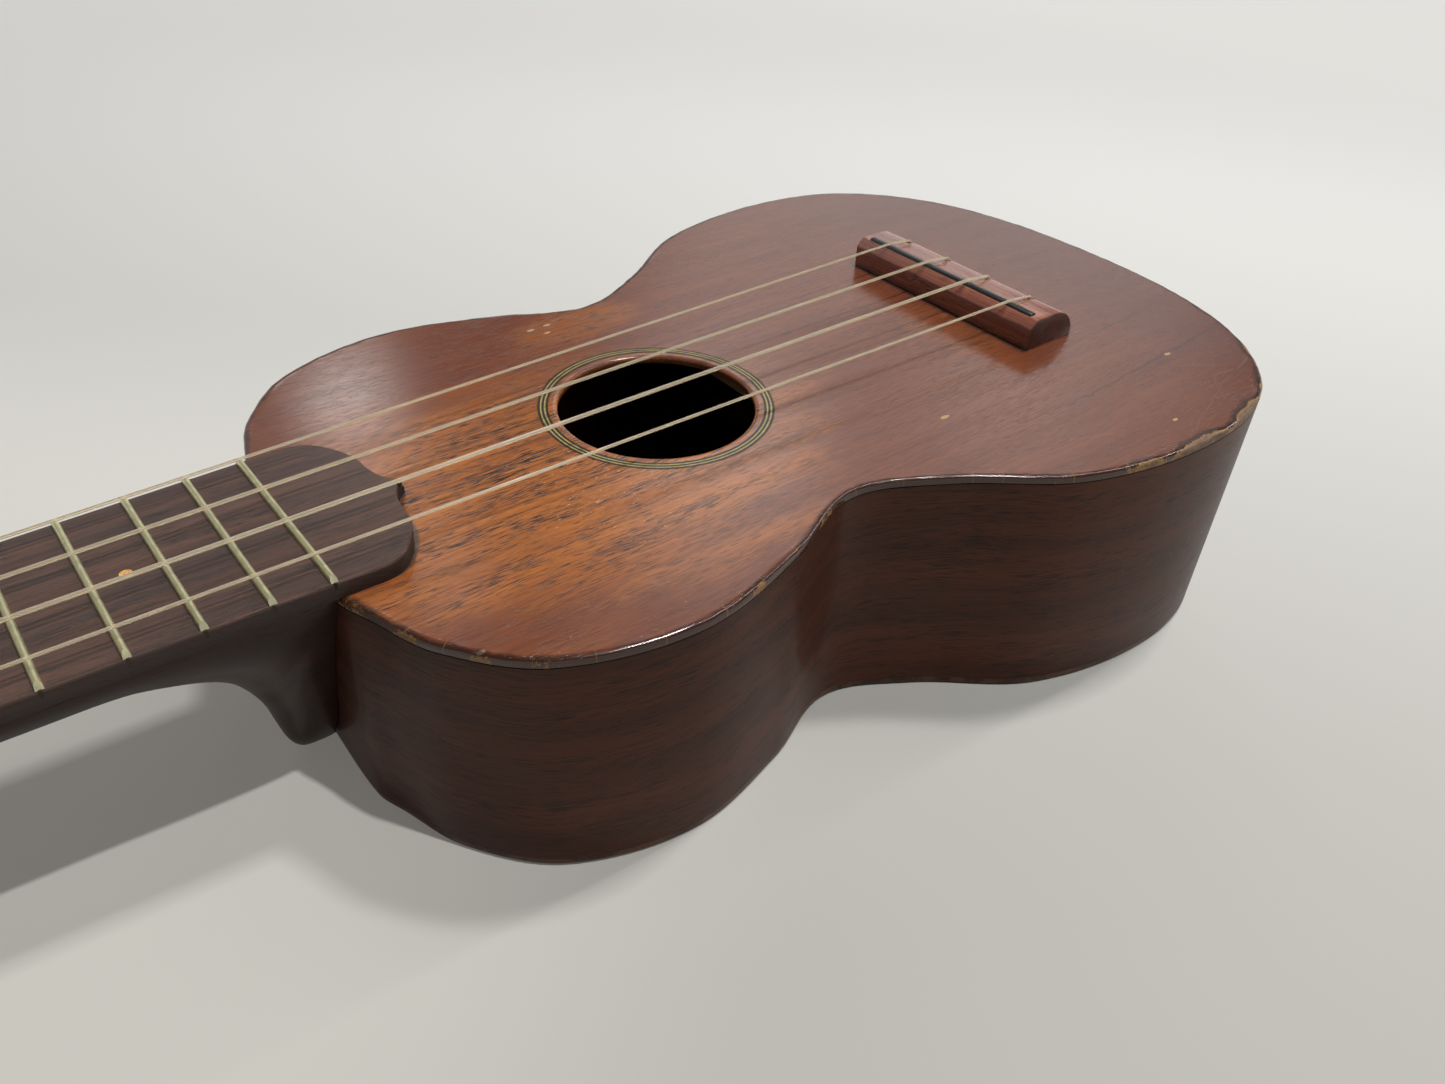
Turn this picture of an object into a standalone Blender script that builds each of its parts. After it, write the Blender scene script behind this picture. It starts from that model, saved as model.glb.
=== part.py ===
"""Soprano ukulele with friction tuners, lying on its back.

The neck points along -X, the tail along +X, and the bass side is -Y. The back rests on
Z = 0 and the origin is under the middle of the whole instrument's box. All values below
are millimetres and degrees, and MM turns them into Blender's metres.

The soundboard frame has its origin where fret 12 meets the body, on top of the
soundboard, with x toward the tail. It leans, because the body gets deeper toward the tail.
The head frame starts behind the nut, on the face of the headstock, and leans once more.
"""

import math

import bmesh
import bpy
from mathutils import Matrix, Vector
from mathutils.geometry import interpolate_bezier

MM = 0.001
GAP = 0.3  # glue line or running clearance between touching pieces
CUT = 3.0  # how far a cutter runs past what it cuts
TURNED_SIDES = 20

# Scale and body
SCALE_LENGTH = 346.0
JOINT_FRET = 12
DEPTH_AT_JOINT = 52.0
DEPTH_GAIN = 0.055  # extra depth per mm toward the tail
BODY_LENGTH = 236.2
TOP_THICK = 1.9
BACK_THICK = 2.0
SIDE_THICK = 1.8
# Half outline of the body: distance from the joint, half width
OUTLINE = (
    (0, 0), (0, 21), (2.3, 28), (8, 42.4), (22, 56.8), (47, 63.3), (73, 57.6), (95, 49.4),
    (115, 57.4), (140, 73.6), (173, 79.9), (202, 75.2), (222, 58.4), (233, 33.5), (BODY_LENGTH, 0),
)
OUTLINE_STEPS = 4

# Sound hole and the inlaid rings round it
HOLE_X = 82.5
HOLE_R = 21.6
HOLE_SIDES = 48
ROSETTE_IN, ROSETTE_OUT = 23.6, 25.9
ROSETTE_DEEP = 0.8

# Inside the body
LINING_WIDE, LINING_TALL = 4.5, 6.0
LINING_START_Y = 27.0
BLOCK_HALF = 20.0
NECK_BLOCK_LONG, TAIL_BLOCK_LONG = 18.0, 12.0
BRACE_WIDE, BRACE_TALL, BRACE_END_TALL = 6.0, 7.0, 2.8
BRACE_CLEAR = 1.9  # from the end of a brace to the lining
TOP_BRACES = {"top_brace_upper": 49.0, "top_brace_lower": 114.0}
BACK_BRACES = {"back_brace_upper": 62.0, "back_brace_lower": 158.0}
BRIDGE_PLATE = (166.0, 194.0, 34.0)  # from, to, half length
BRIDGE_PLATE_THICK = 1.8

# Bridge, from its straight front to its rounded back
BRIDGE_FRONT, BRIDGE_BACK = 171.4, 188.4
BRIDGE_HALF = 30.2
BRIDGE_TOP = 7.6
BRIDGE_BEVEL = 2.0
BRIDGE_FLAT_END = 180.4
SADDLE_FRONT, SADDLE_THICK, SADDLE_HALF = 173.5, 2.2, 27.6
SADDLE_DEEP, SADDLE_PROUD, SADDLE_ROUND = 3.2, 0.6, 0.5
SLOT_START, SLOT_FLOOR = 180.9, 1.2
KERF_CLEAR = 0.4  # beside a string in its slot

# Fingerboard, nut and frets
BOARD_HALF, NUT_HALF = 22.5, 17.3  # half widths at fret 12 and at the nut
BOARD_TOP = 3.4
BOARD_END = (
    (8, 22.7), (11.6, 22.1), (14.4, 20), (17.2, 15.8), (18.8, 11.4), (19.1, 7.4), (20.2, 3.2), (23, 0),
)
FRET_WIDE, FRET_TALL, FRET_INSET = 1.3, 0.9, 0.5
TANG_WIDE, TANG_DEEP = 0.5, 1.3
FRET_CROWN = (20, 50, 90, 130, 160)  # degrees round the top of a fret
NUT_THICK, NUT_TOP, NUT_ROUND = 4.5, 5.6, 1.4
MARKER_FRETS = (5, 7, 10)
MARKER_R, MARKER_DEEP, DOT_SIDES = 1.1, 1.2, 16

# Headstock, from the nut to its tip: distance, half width
HEAD_TILT = 5.0
HEAD_LONG, HEAD_THICK, HEAD_TIP_HALF = 112.0, 10.5, 9.0
HEAD_OUTLINE = ((0, 17.4), (7, 17.9), (20, 23.4), (36, 26.4), (70, 28.6), (96, 30), (106, 27.4), (111, 18))
HEAD_SQUARE = (2.4, 8.0, 22.0)  # roundness behind the nut, beyond it, and the distance between

# Neck: x, depth under the fingerboard
NECK_SQUARE = 2.2
NECK = ((-SCALE_LENGTH / 2, 9.6), (-150, 9.7), (-110, 9.8), (-70, 9.9), (-46, 10.0), (-35, 10.8))
# Heel slices, fanning round from upright in the neck to level at the foot: the middle of
# the straight edge as x and z, the lowest point as x and z, half width, taper, squareness
HEEL_FACE = -GAP
HEEL = (
    ((-26, 0), (-27.3, -14.4), 21.7, 0.04, 2.2),
    ((-18, 0), (-22.5, -18.2), 22.0, 0.1, 2.2),
    ((-10, 0), (-18.7, -22.2), 22.2, 0.18, 2.3),
    ((-4, 0), (-16.2, -26.1), 22.4, 0.28, 2.4),
    ((HEEL_FACE, 0), (-14.3, -29.7), 22.3, 0.36, 2.5),
    ((HEEL_FACE, -13), (-12.7, -33.4), 16.9, 0.26, 2.5),
    ((HEEL_FACE, -24), (-11.5, -37.5), 12.6, 0.18, 2.4),
    ((HEEL_FACE, -34), (-10.5, -42.4), 9.2, 0.1, 2.4),
    ((HEEL_FACE, -41.5), (-9.4, -46.9), 6.6, 0.05, 2.4),
    ((HEEL_FACE, -46.5), (-7.8, -49.9), 4.2, 0.05, 2.3),
    ((HEEL_FACE, -49.6), (-5.9, -50.7), 2.5, 0.05, 2.2),
)

# Strings, bass to treble: name, diameter, tuner's distance from the nut, its half spacing
STRINGS = (("g", 0.66, 34.0, 18.0), ("c", 0.86, 74.0, 20.5), ("e", 0.76, 74.0, 20.5), ("a", 0.62, 34.0, 18.0))
SADDLE_SPACING, NUT_SPACING = 13.8, 9.6
STRING_AT_NUT = 5.35
STRING_DIP = 0.4  # how far a string falls across the nut
KNOT_RADII = (0.8, 1.2, 0.9, 0.4)

# Tuners, in the head frame, measured up from the face
POST_R, POST_TALL = 2.8, 12.6
POST_CROWN = ((0.9, 0), (0.25, 0.5), (0, 1.2))  # in from the rim, down from the top
SHAFT_R, STEM_R, STEM_LONG = 2.4, 1.8, 8.0
BUSHING_R, BUSHING_TOP, BUSHING_DEEP, BUSHING_WALL = 5.0, 1.3, 6.0, 0.6
STRING_HOLE_R = 0.85
BUTTON_LONG = 13.2
# Button, as ovals from its round collar to its foot: distance down, half length, half thickness
BUTTON = (
    (0, 4.4, 4.4), (1.6, 4.4, 4.4), (2.8, 4.6, 3.3), (4.6, 6.8, 3.0), (7, 8.2, 3.2), (9.6, 8.2, 3.2),
    (11.8, 6.8, 3.1), (12.8, 4.8, 2.95), (BUTTON_LONG, 3.9, 2.9),
)
SCREW_R, SCREW_HEAD_R, SCREW_LONG, SCREW_SUNK = 1.0, 2.0, 4.6, 1.2
SCREW_HEAD_DEEP, SCREW_CROWN_R = 1.3, 1.1
WINDING_START = 3.4
WINDING_TURNS = 2.25
WINDING_LAST_TURN = 0.75
WINDING_LAST_CLIMB = 1.9
TURN_POINTS = 24

# Finishes: colour, roughness, metallic
MAHOGANY_TOP = ((0.23, 0.085, 0.035), 0.35, 0.0)
MAHOGANY_SIDE = ((0.065, 0.024, 0.013), 0.38, 0.0)
DARK_NECK = ((0.022, 0.012, 0.009), 0.4, 0.0)
ROSEWOOD = ((0.035, 0.019, 0.015), 0.5, 0.0)
RAW_WOOD = ((0.42, 0.25, 0.13), 0.7, 0.0)
SPRUCE = ((0.62, 0.44, 0.25), 0.7, 0.0)
EBONY = ((0.01, 0.013, 0.011), 0.35, 0.0)
NICKEL = ((0.55, 0.52, 0.42), 0.3, 1.0)
IVOROID = ((0.78, 0.7, 0.52), 0.4, 0.0)
PEARL = ((0.75, 0.42, 0.16), 0.25, 0.0)
NYLON = ((0.75, 0.72, 0.68), 0.2, 0.0)

LEAN = math.atan(DEPTH_GAIN)
NUT_X = -SCALE_LENGTH / 2
HEAD_X = NUT_X - NUT_THICK - GAP


# Frames


def empty(name, parent=None, place=(0, 0, 0), turn_y=0.0):
    frame = bpy.data.objects.new(name, None)
    bpy.context.scene.collection.objects.link(frame)
    frame.parent = parent
    frame.location = Vector(place) * MM
    frame.rotation_euler.y = turn_y
    return frame


def head_to_top(x, y, z):
    """A point of the head frame in the soundboard frame."""
    turn = Matrix.Rotation(-math.radians(HEAD_TILT), 3, "Y")
    return turn @ Vector((x, y, z)) + Vector((HEAD_X, 0, 0))


# Curves and outlines


def smooth_line(points, steps, start, end):
    """A smooth line through the points, leaving along start and arriving along end."""
    points = [Vector(p) for p in points]
    along = [Vector(start).normalized()]
    along += [(after - before).normalized() for before, after in zip(points, points[2:])]
    along.append(Vector(end).normalized())
    line = []
    for i, (a, b) in enumerate(zip(points, points[1:])):
        reach = (b - a).length / 3
        curve = interpolate_bezier(a, a + along[i] * reach, b - along[i + 1] * reach, b, steps + 1)
        line += [p.to_2d() for p in curve[:-1]]
    return line + [points[-1].to_2d()]


def offset_line(line, distance):
    """The half outline moved inward, so its points keep their order."""
    moved = []
    for i, point in enumerate(line):
        run = line[min(i + 1, len(line) - 1)] - line[max(i - 1, 0)]
        if i in (0, len(line) - 1):
            run = Vector((0, 1 if i == 0 else -1))
        inward = Vector((run.y, -run.x)).normalized()
        moved.append(point + inward * distance)
    return moved


def half_width(line, x):
    """Half width of a half outline at distance x."""
    for a, b in zip(line, line[1:]):
        if a.x <= x <= b.x and b.x > a.x:
            return a.y + (b.y - a.y) * (x - a.x) / (b.x - a.x)
    return 0.0


def whole(line):
    """The closed outline of both halves, from a half outline."""
    return list(line) + [Vector((p.x, -p.y)) for p in reversed(line[1:-1])]


def circle(radius, steps, x=0.0, y=0.0):
    turn = 2 * math.pi / steps
    return [Vector((x + radius * math.cos(i * turn), y + radius * math.sin(i * turn))) for i in range(steps)]


def inside_back(x, up):
    """Height in the soundboard frame of the level that lies up above the table."""
    return up / math.cos(LEAN) - DEPTH_AT_JOINT - DEPTH_GAIN * x


# Solids


def material(name, look):
    colour, roughness, metallic = look
    made = bpy.data.materials.new(name)
    made.use_nodes = True
    shader = made.node_tree.nodes["Principled BSDF"]
    shader.inputs["Base Color"].default_value = (*colour, 1)
    shader.inputs["Roughness"].default_value = roughness
    shader.inputs["Metallic"].default_value = metallic
    return made


def add(name, data, parent, look, place=(0, 0, 0)):
    made = bpy.data.objects.new(name, data)
    bpy.context.scene.collection.objects.link(made)
    made.parent = parent
    made.location = Vector(place) * MM
    data.materials.append(material(name, look))
    return made


def finish(bm, name, parent, look, place=(0, 0, 0), smooth=False):
    """Turns a bmesh in millimetres into an object."""
    bmesh.ops.recalc_face_normals(bm, faces=bm.faces)
    bmesh.ops.scale(bm, vec=(MM, MM, MM), verts=bm.verts)
    mesh = bpy.data.meshes.new(name)
    bm.to_mesh(mesh)
    bm.free()
    if smooth:
        mesh.shade_smooth()
        mesh.set_sharp_from_angle(angle=math.radians(35))
    return add(name, mesh, parent, look, place)


def level(height, x):
    return height(x) if callable(height) else height


def prism(outline, low, high):
    """An outline pulled up from low to high, each a height or a function of x."""
    bm = bmesh.new()
    face = bm.faces.new([bm.verts.new((p[0], p[1], level(low, p[0]))) for p in outline])
    pulled = bmesh.ops.extrude_face_region(bm, geom=[face])["geom"]
    for vert in (v for v in pulled if isinstance(v, bmesh.types.BMVert)):
        vert.co.z = level(high, vert.co.x)
    return bm


def across(profile, half):
    """A profile of x and z pulled across from -half to half."""
    bm = bmesh.new()
    face = bm.faces.new([bm.verts.new((x, -half, z)) for x, z in profile])
    pulled = bmesh.ops.extrude_face_region(bm, geom=[face])["geom"]
    for vert in (v for v in pulled if isinstance(v, bmesh.types.BMVert)):
        vert.co.y = half
    return bm


def turned(profile, steps=TURNED_SIDES):
    """A profile of radius and height turned round the z axis."""
    bm = bmesh.new()
    verts = [bm.verts.new((r, 0, z)) for r, z in profile]
    ends = zip(verts, verts[1:] + ([verts[0]] if profile[0][0] > 0 else []))
    edges = [bm.edges.new(pair) for pair in ends]
    bmesh.ops.spin(
        bm, geom=verts + edges, cent=(0, 0, 0), axis=(0, 0, 1), angle=2 * math.pi, steps=steps, use_merge=True
    )
    bmesh.ops.remove_doubles(bm, verts=bm.verts, dist=0.001)
    return bm


def loft(sections):
    """Closed loops of equal length joined in order, with both ends filled."""
    bm = bmesh.new()
    loops = []
    for section in sections:
        verts = [bm.verts.new(p) for p in section]
        loops.append([bm.edges.new(pair) for pair in zip(verts, verts[1:] + verts[:1])])
    for one, other in zip(loops, loops[1:]):
        bmesh.ops.bridge_loops(bm, edges=one + other)
    for end in (loops[0], loops[-1]):
        bmesh.ops.contextual_create(bm, geom=end)
    return bm


def cut(target, cutter):
    cutter.hide_render = True
    cutter.display_type = "WIRE"
    boolean = target.modifiers.new(cutter.name, "BOOLEAN")
    boolean.operation = "DIFFERENCE"
    boolean.solver = "EXACT"
    boolean.object = cutter


def boxes(name, sizes, parent):
    """Cutter made of boxes, each given by two opposite corners."""
    bm = bmesh.new()
    for low, high in sizes:
        low, high = Vector(low), Vector(high)
        made = bmesh.ops.create_cube(bm, size=1)["verts"]
        bmesh.ops.scale(bm, vec=high - low, verts=made)
        bmesh.ops.translate(bm, vec=(high + low) / 2, verts=made)
    return finish(bm, name, parent, RAW_WOOD)


def tube(name, points, diameter, parent, look, sides=2, swell=()):
    """A round cord through the points. swell gives the last points' radii, for a knot."""
    curve = bpy.data.curves.new(name, "CURVE")
    curve.dimensions = "3D"
    curve.bevel_depth = diameter / 2 * MM
    curve.bevel_resolution = sides
    curve.use_fill_caps = True
    spline = curve.splines.new("POLY")
    spline.points.add(len(points) - 1)
    radii = [1.0] * (len(points) - len(swell)) + list(swell)
    for point, place, radius in zip(spline.points, points, radii):
        point.co = (*(Vector(place) * MM), 1)
        point.radius = radius
    return add(name, curve, parent, look)


# Body


def body_line():
    return smooth_line(OUTLINE, OUTLINE_STEPS, (0, 1), (0, -1))


def make_soundboard(top):
    plate = finish(prism(whole(body_line()), -TOP_THICK, 0), "soundboard", top, MAHOGANY_TOP)
    bore = prism(circle(HOLE_R, HOLE_SIDES, HOLE_X), -TOP_THICK - CUT, CUT)
    cut(plate, finish(bore, "cut_sound_hole", top, RAW_WOOD))
    near, far, deep = ROSETTE_IN - GAP, ROSETTE_OUT + GAP, ROSETTE_DEEP + GAP
    ring = turned([(near, CUT), (far, CUT), (far, -deep), (near, -deep)], HOLE_SIDES)
    cut(plate, finish(ring, "cut_rosette", top, RAW_WOOD, (HOLE_X, 0, 0)))
    inlay = [(ROSETTE_IN, 0), (ROSETTE_OUT, 0), (ROSETTE_OUT, -ROSETTE_DEEP), (ROSETTE_IN, -ROSETTE_DEEP)]
    finish(turned(inlay, HOLE_SIDES), "rosette", top, EBONY, (HOLE_X, 0, 0))


def make_back(root):
    """The back lies flat on the table; the leaning walls meet it a little further on."""
    def on_back(p, up):
        stretch = 1 / math.cos(LEAN)
        return Vector((p.x * stretch + math.sin(LEAN) * DEPTH_AT_JOINT - DEPTH_GAIN * up, p.y))

    bm = bmesh.new()
    line = whole(body_line())
    low = [bm.verts.new((*on_back(p, 0), 0)) for p in line]
    face = bm.faces.new(low)
    pulled = bmesh.ops.extrude_face_region(bm, geom=[face])["geom"]
    raised = [v for v in pulled if isinstance(v, bmesh.types.BMVert)]
    bmesh.ops.translate(bm, vec=(-DEPTH_GAIN * BACK_THICK, 0, BACK_THICK), verts=raised)
    finish(bm, "back_plate", root, MAHOGANY_SIDE)


def ribbon(line, near, far, low, high):
    """A wall along a half outline, from near to far inside it."""
    outer, inner = offset_line(line, near), offset_line(line, far)
    bm = bmesh.new()
    rows = [[bm.verts.new((p.x, p.y, level(low, p.x))) for p in side] for side in (outer, inner)]
    faces = []
    for i in range(len(line) - 1):
        faces.append(bm.faces.new((rows[0][i], rows[0][i + 1], rows[1][i + 1], rows[1][i])))
    pulled = bmesh.ops.extrude_face_region(bm, geom=faces)["geom"]
    for vert in (v for v in pulled if isinstance(v, bmesh.types.BMVert)):
        vert.co.z = level(high, vert.co.x)
    return bm


def mirrored(bm):
    bmesh.ops.scale(bm, vec=(1, -1, 1), verts=bm.verts)
    return bm


def make_sides(top):
    line = body_line()
    line[0].y = line[-1].y = GAP / 2
    rest = [p for p in line if p.y > LINING_START_Y]
    inside = SIDE_THICK + GAP

    def floor(x):
        return inside_back(x, BACK_THICK + GAP)

    def lining_top(x):
        return inside_back(x, BACK_THICK + GAP + LINING_TALL)

    ceiling = -TOP_THICK - GAP
    for side in ("treble", "bass"):
        pieces = {
            "side_" + side: ribbon(line, 0, SIDE_THICK, floor, ceiling),
            "lining_top_" + side: ribbon(rest, inside, inside + LINING_WIDE, ceiling - LINING_TALL, ceiling),
            "lining_back_" + side: ribbon(rest, inside, inside + LINING_WIDE, floor, lining_top),
        }
        for name, bm in pieces.items():
            bm = mirrored(bm) if side == "bass" else bm
            finish(bm, name, top, MAHOGANY_SIDE if name.startswith("side") else RAW_WOOD)


def make_blocks(top):
    """Solid blocks under the neck and the tail, shaped to the inside of the walls."""
    inner = offset_line(body_line(), SIDE_THICK + GAP)

    def floor(x):
        return inside_back(x, BACK_THICK + GAP)

    near_neck = [p for p in inner if p.x < NECK_BLOCK_LONG and p.y < BLOCK_HALF]
    front = near_neck[-1].x
    half = [Vector((front, 0)), Vector((front, BLOCK_HALF)), Vector((NECK_BLOCK_LONG, BLOCK_HALF))]
    half.append(Vector((NECK_BLOCK_LONG, 0)))
    finish(prism(whole(half), floor, -TOP_THICK - GAP), "neck_block", top, RAW_WOOD)
    back = [p for p in inner if p.x > BODY_LENGTH / 2 and p.y < BLOCK_HALF]
    start = BODY_LENGTH - TAIL_BLOCK_LONG
    half = [Vector((start, 0)), Vector((start, back[0].y)), *back]
    finish(prism(whole(half), floor, -TOP_THICK - GAP), "tail_block", top, RAW_WOOD)


def make_braces(top):
    line = body_line()
    clear = SIDE_THICK + LINING_WIDE + BRACE_CLEAR
    for name, x in {**TOP_BRACES, **BACK_BRACES}.items():
        edges = (x - BRACE_WIDE / 2, x + BRACE_WIDE / 2)
        half = min(half_width(line, e) for e in edges) - clear
        tip = half - 2 * BRACE_TALL
        if name in TOP_BRACES:
            base, sign = (lambda _: -TOP_THICK - GAP), -1
        else:
            base, sign = (lambda at: inside_back(at, BACK_THICK + GAP)), 1
        low, tall = BRACE_END_TALL * sign, BRACE_TALL * sign
        bm = bmesh.new()
        side = [(-half, 0), (half, 0), (half, low), (tip, tall), (-tip, tall), (-half, low)]
        face = bm.faces.new([bm.verts.new((edges[0], y, base(edges[0]) + z)) for y, z in side])
        pulled = bmesh.ops.extrude_face_region(bm, geom=[face])["geom"]
        moved = [v for v in pulled if isinstance(v, bmesh.types.BMVert)]
        shift = (BRACE_WIDE, 0, base(edges[1]) - base(edges[0]))
        bmesh.ops.translate(bm, vec=shift, verts=moved)
        finish(bm, name, top, SPRUCE)
    start, end, half = BRIDGE_PLATE
    plate = [Vector((start, half)), Vector((end, half)), Vector((end, -half)), Vector((start, -half))]
    roof = -TOP_THICK - GAP
    finish(prism(plate, roof - BRIDGE_PLATE_THICK, roof), "bridge_plate", top, RAW_WOOD)


# Bridge


def make_bridge(top):
    front_top = BRIDGE_TOP - BRIDGE_BEVEL
    reach, fall = BRIDGE_BACK - BRIDGE_FLAT_END, BRIDGE_TOP - GAP
    profile = [(BRIDGE_BACK, GAP), (BRIDGE_FRONT, GAP), (BRIDGE_FRONT, front_top)]
    profile += [(BRIDGE_FRONT + BRIDGE_BEVEL, BRIDGE_TOP)]
    for i in range(6):
        turn = i * math.pi / 12
        profile.append((BRIDGE_FLAT_END + reach * math.sin(turn), GAP + fall * math.cos(turn)))
    bridge = finish(across(profile, BRIDGE_HALF), "bridge", top, MAHOGANY_SIDE)
    floor = BRIDGE_TOP - SADDLE_DEEP
    channel = (
        (SADDLE_FRONT - GAP, -SADDLE_HALF - GAP, floor - GAP),
        (SADDLE_FRONT + SADDLE_THICK + GAP, SADDLE_HALF + GAP, BRIDGE_TOP + CUT),
    )
    kerfs = []
    for i, (_, diameter, _, _) in enumerate(STRINGS):
        y, half = (i - 1.5) * SADDLE_SPACING, diameter / 2 + KERF_CLEAR
        kerfs.append(((SLOT_START, y - half, SLOT_FLOOR), (BRIDGE_BACK + CUT, y + half, BRIDGE_TOP + CUT)))
    cut(bridge, boxes("cut_bridge", [channel] + kerfs, top))
    back = SADDLE_FRONT + SADDLE_THICK
    crown = BRIDGE_TOP + SADDLE_PROUD
    blade = [(back, floor), (SADDLE_FRONT, floor), (SADDLE_FRONT, crown - SADDLE_ROUND)]
    blade += [(SADDLE_FRONT + SADDLE_ROUND, crown), (back - SADDLE_ROUND, crown), (back, crown - SADDLE_ROUND)]
    finish(across(blade, SADDLE_HALF), "saddle", top, EBONY)


# Neck, fingerboard and frets


def section(rail, under, half, taper=0.0, square=2.0):
    """One slice of the neck, flat on top from half to -half and rounded below."""
    rail, under = Vector((rail[0], 0, rail[1])), Vector((under[0], 0, under[1]))
    points = []
    for i in range(13):
        turn = math.pi * i / 12
        down = max(0.0, math.sin(turn)) ** (2 / square)
        wide = math.copysign(abs(math.cos(turn)) ** (2 / square), math.cos(turn)) * (1 - taper * down)
        wide = 0.0 if i == 6 else wide
        points.append(rail.lerp(under, down) + Vector((0, half * wide, 0)))
    return points


def board_half(x):
    """Half width of the fingerboard and the neck under it."""
    return BOARD_HALF + (NUT_HALF - BOARD_HALF) * x / NUT_X


def make_neck(top):
    """Headstock, neck and heel in one piece, each slice given by its flat and its underside."""
    outline = [Vector(p) for p in HEAD_OUTLINE]
    outline = smooth_line(outline, OUTLINE_STEPS, (1, 0.05), (0.35, -1))
    outline.append(Vector((HEAD_LONG, HEAD_TIP_HALF)))
    slices = []
    for p in reversed(outline):
        flat, under = head_to_top(-p.x, 0, 0), head_to_top(-p.x, 0, -HEAD_THICK)
        near, beyond, distance = HEAD_SQUARE
        square = near + (beyond - near) * min(1.0, p.x / distance)
        slices.append(section((flat.x, flat.z), (under.x, under.z), p.y, 0.0, square))
    for x, deep in NECK:
        slices.append(section((x, 0), (x, -deep), board_half(x), 0.0, NECK_SQUARE))
    slices += [section(*row) for row in HEEL]
    neck = finish(loft(slices), "neck", top, DARK_NECK, smooth=True)
    bores = bmesh.new()
    radius = SHAFT_R + GAP + BUSHING_WALL + GAP
    for x, y in tuner_places():
        made = bmesh.ops.create_cone(
            bores, cap_ends=True, segments=TURNED_SIDES, depth=HEAD_THICK * 3, radius1=radius, radius2=radius
        )["verts"]
        bmesh.ops.translate(bores, vec=(x, y, 0), verts=made)
    bmesh.ops.rotate(
        bores, cent=(0, 0, 0), matrix=Matrix.Rotation(-math.radians(HEAD_TILT), 3, "Y"), verts=bores.verts
    )
    cut(neck, finish(bores, "cut_tuner_bores", top, RAW_WOOD, (HEAD_X, 0, 0)))


def fret_x(number):
    return SCALE_LENGTH * (0.5 - 2 ** (-number / 12))


def marker_x(number):
    return (fret_x(number - 1) + fret_x(number)) / 2


def make_fingerboard(top):
    end = smooth_line(BOARD_END, 3, (1, 0), (1, -0.7))
    half = [Vector((NUT_X, 0)), Vector((NUT_X, NUT_HALF))] + end
    board = finish(prism(whole(half), GAP, BOARD_TOP), "fingerboard", top, ROSEWOOD)
    slots = []
    for number in range(1, JOINT_FRET + 1):
        x, reach = fret_x(number), TANG_WIDE / 2 + GAP
        side = BOARD_HALF + CUT
        slots.append(((x - reach, -side, BOARD_TOP - TANG_DEEP - GAP), (x + reach, side, BOARD_TOP + CUT)))
    cut(board, boxes("cut_fret_slots", slots, top))
    pockets = bmesh.new()
    for number in MARKER_FRETS:
        radius = MARKER_R + GAP
        made = bmesh.ops.create_cone(
            pockets, cap_ends=True, segments=DOT_SIDES, radius1=radius, radius2=radius,
            depth=2 * (MARKER_DEEP + GAP),
        )["verts"]
        bmesh.ops.translate(pockets, vec=(marker_x(number), 0, BOARD_TOP), verts=made)
        dot = prism(circle(MARKER_R, DOT_SIDES, marker_x(number)), BOARD_TOP - MARKER_DEEP, BOARD_TOP)
        finish(dot, f"marker_fret_{number}", top, PEARL)
    cut(board, finish(pockets, "cut_markers", top, RAW_WOOD))


def make_frets(top):
    seat = BOARD_TOP + GAP
    half, tang = FRET_WIDE / 2, TANG_WIDE / 2
    for number in range(1, JOINT_FRET + 1):
        x = fret_x(number)
        profile = [(x - tang, seat), (x - tang, BOARD_TOP - TANG_DEEP), (x + tang, BOARD_TOP - TANG_DEEP)]
        profile += [(x + tang, seat), (x + half, seat)]
        for turn in map(math.radians, FRET_CROWN):
            profile.append((x + half * math.cos(turn), seat + FRET_TALL * math.sin(turn)))
        profile.append((x - half, seat))
        bm = across(profile, board_half(x) - FRET_INSET)
        for vert in (v for v in bm.verts if v.co.z > seat + FRET_TALL / 2):
            vert.co.y -= math.copysign(FRET_INSET, vert.co.y)
        finish(bm, f"fret_{number:02d}", top, NICKEL)


def make_nut(top):
    back = NUT_X - NUT_THICK
    profile = [(NUT_X - GAP, GAP), (NUT_X - GAP, NUT_TOP), (back + NUT_ROUND, NUT_TOP - NUT_ROUND / 4)]
    profile += [(back, NUT_TOP - NUT_ROUND), (back, GAP)]
    nut = finish(across(profile, NUT_HALF), "nut", top, EBONY)
    kerfs = []
    for i, (_, diameter, _, _) in enumerate(STRINGS):
        y, half = (i - 1.5) * NUT_SPACING, diameter / 2 + KERF_CLEAR
        floor = STRING_AT_NUT - STRING_DIP - half
        kerfs.append(((back - CUT, y - half, floor), (NUT_X + CUT, y + half, NUT_TOP + CUT)))
    cut(nut, boxes("cut_nut", kerfs, top))


# Tuners and strings


def tuner_places():
    """Where the posts stand on the face of the headstock, bass to treble."""
    return [(-far, math.copysign(out, i - 1.5)) for i, (_, _, far, out) in enumerate(STRINGS)]


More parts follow.
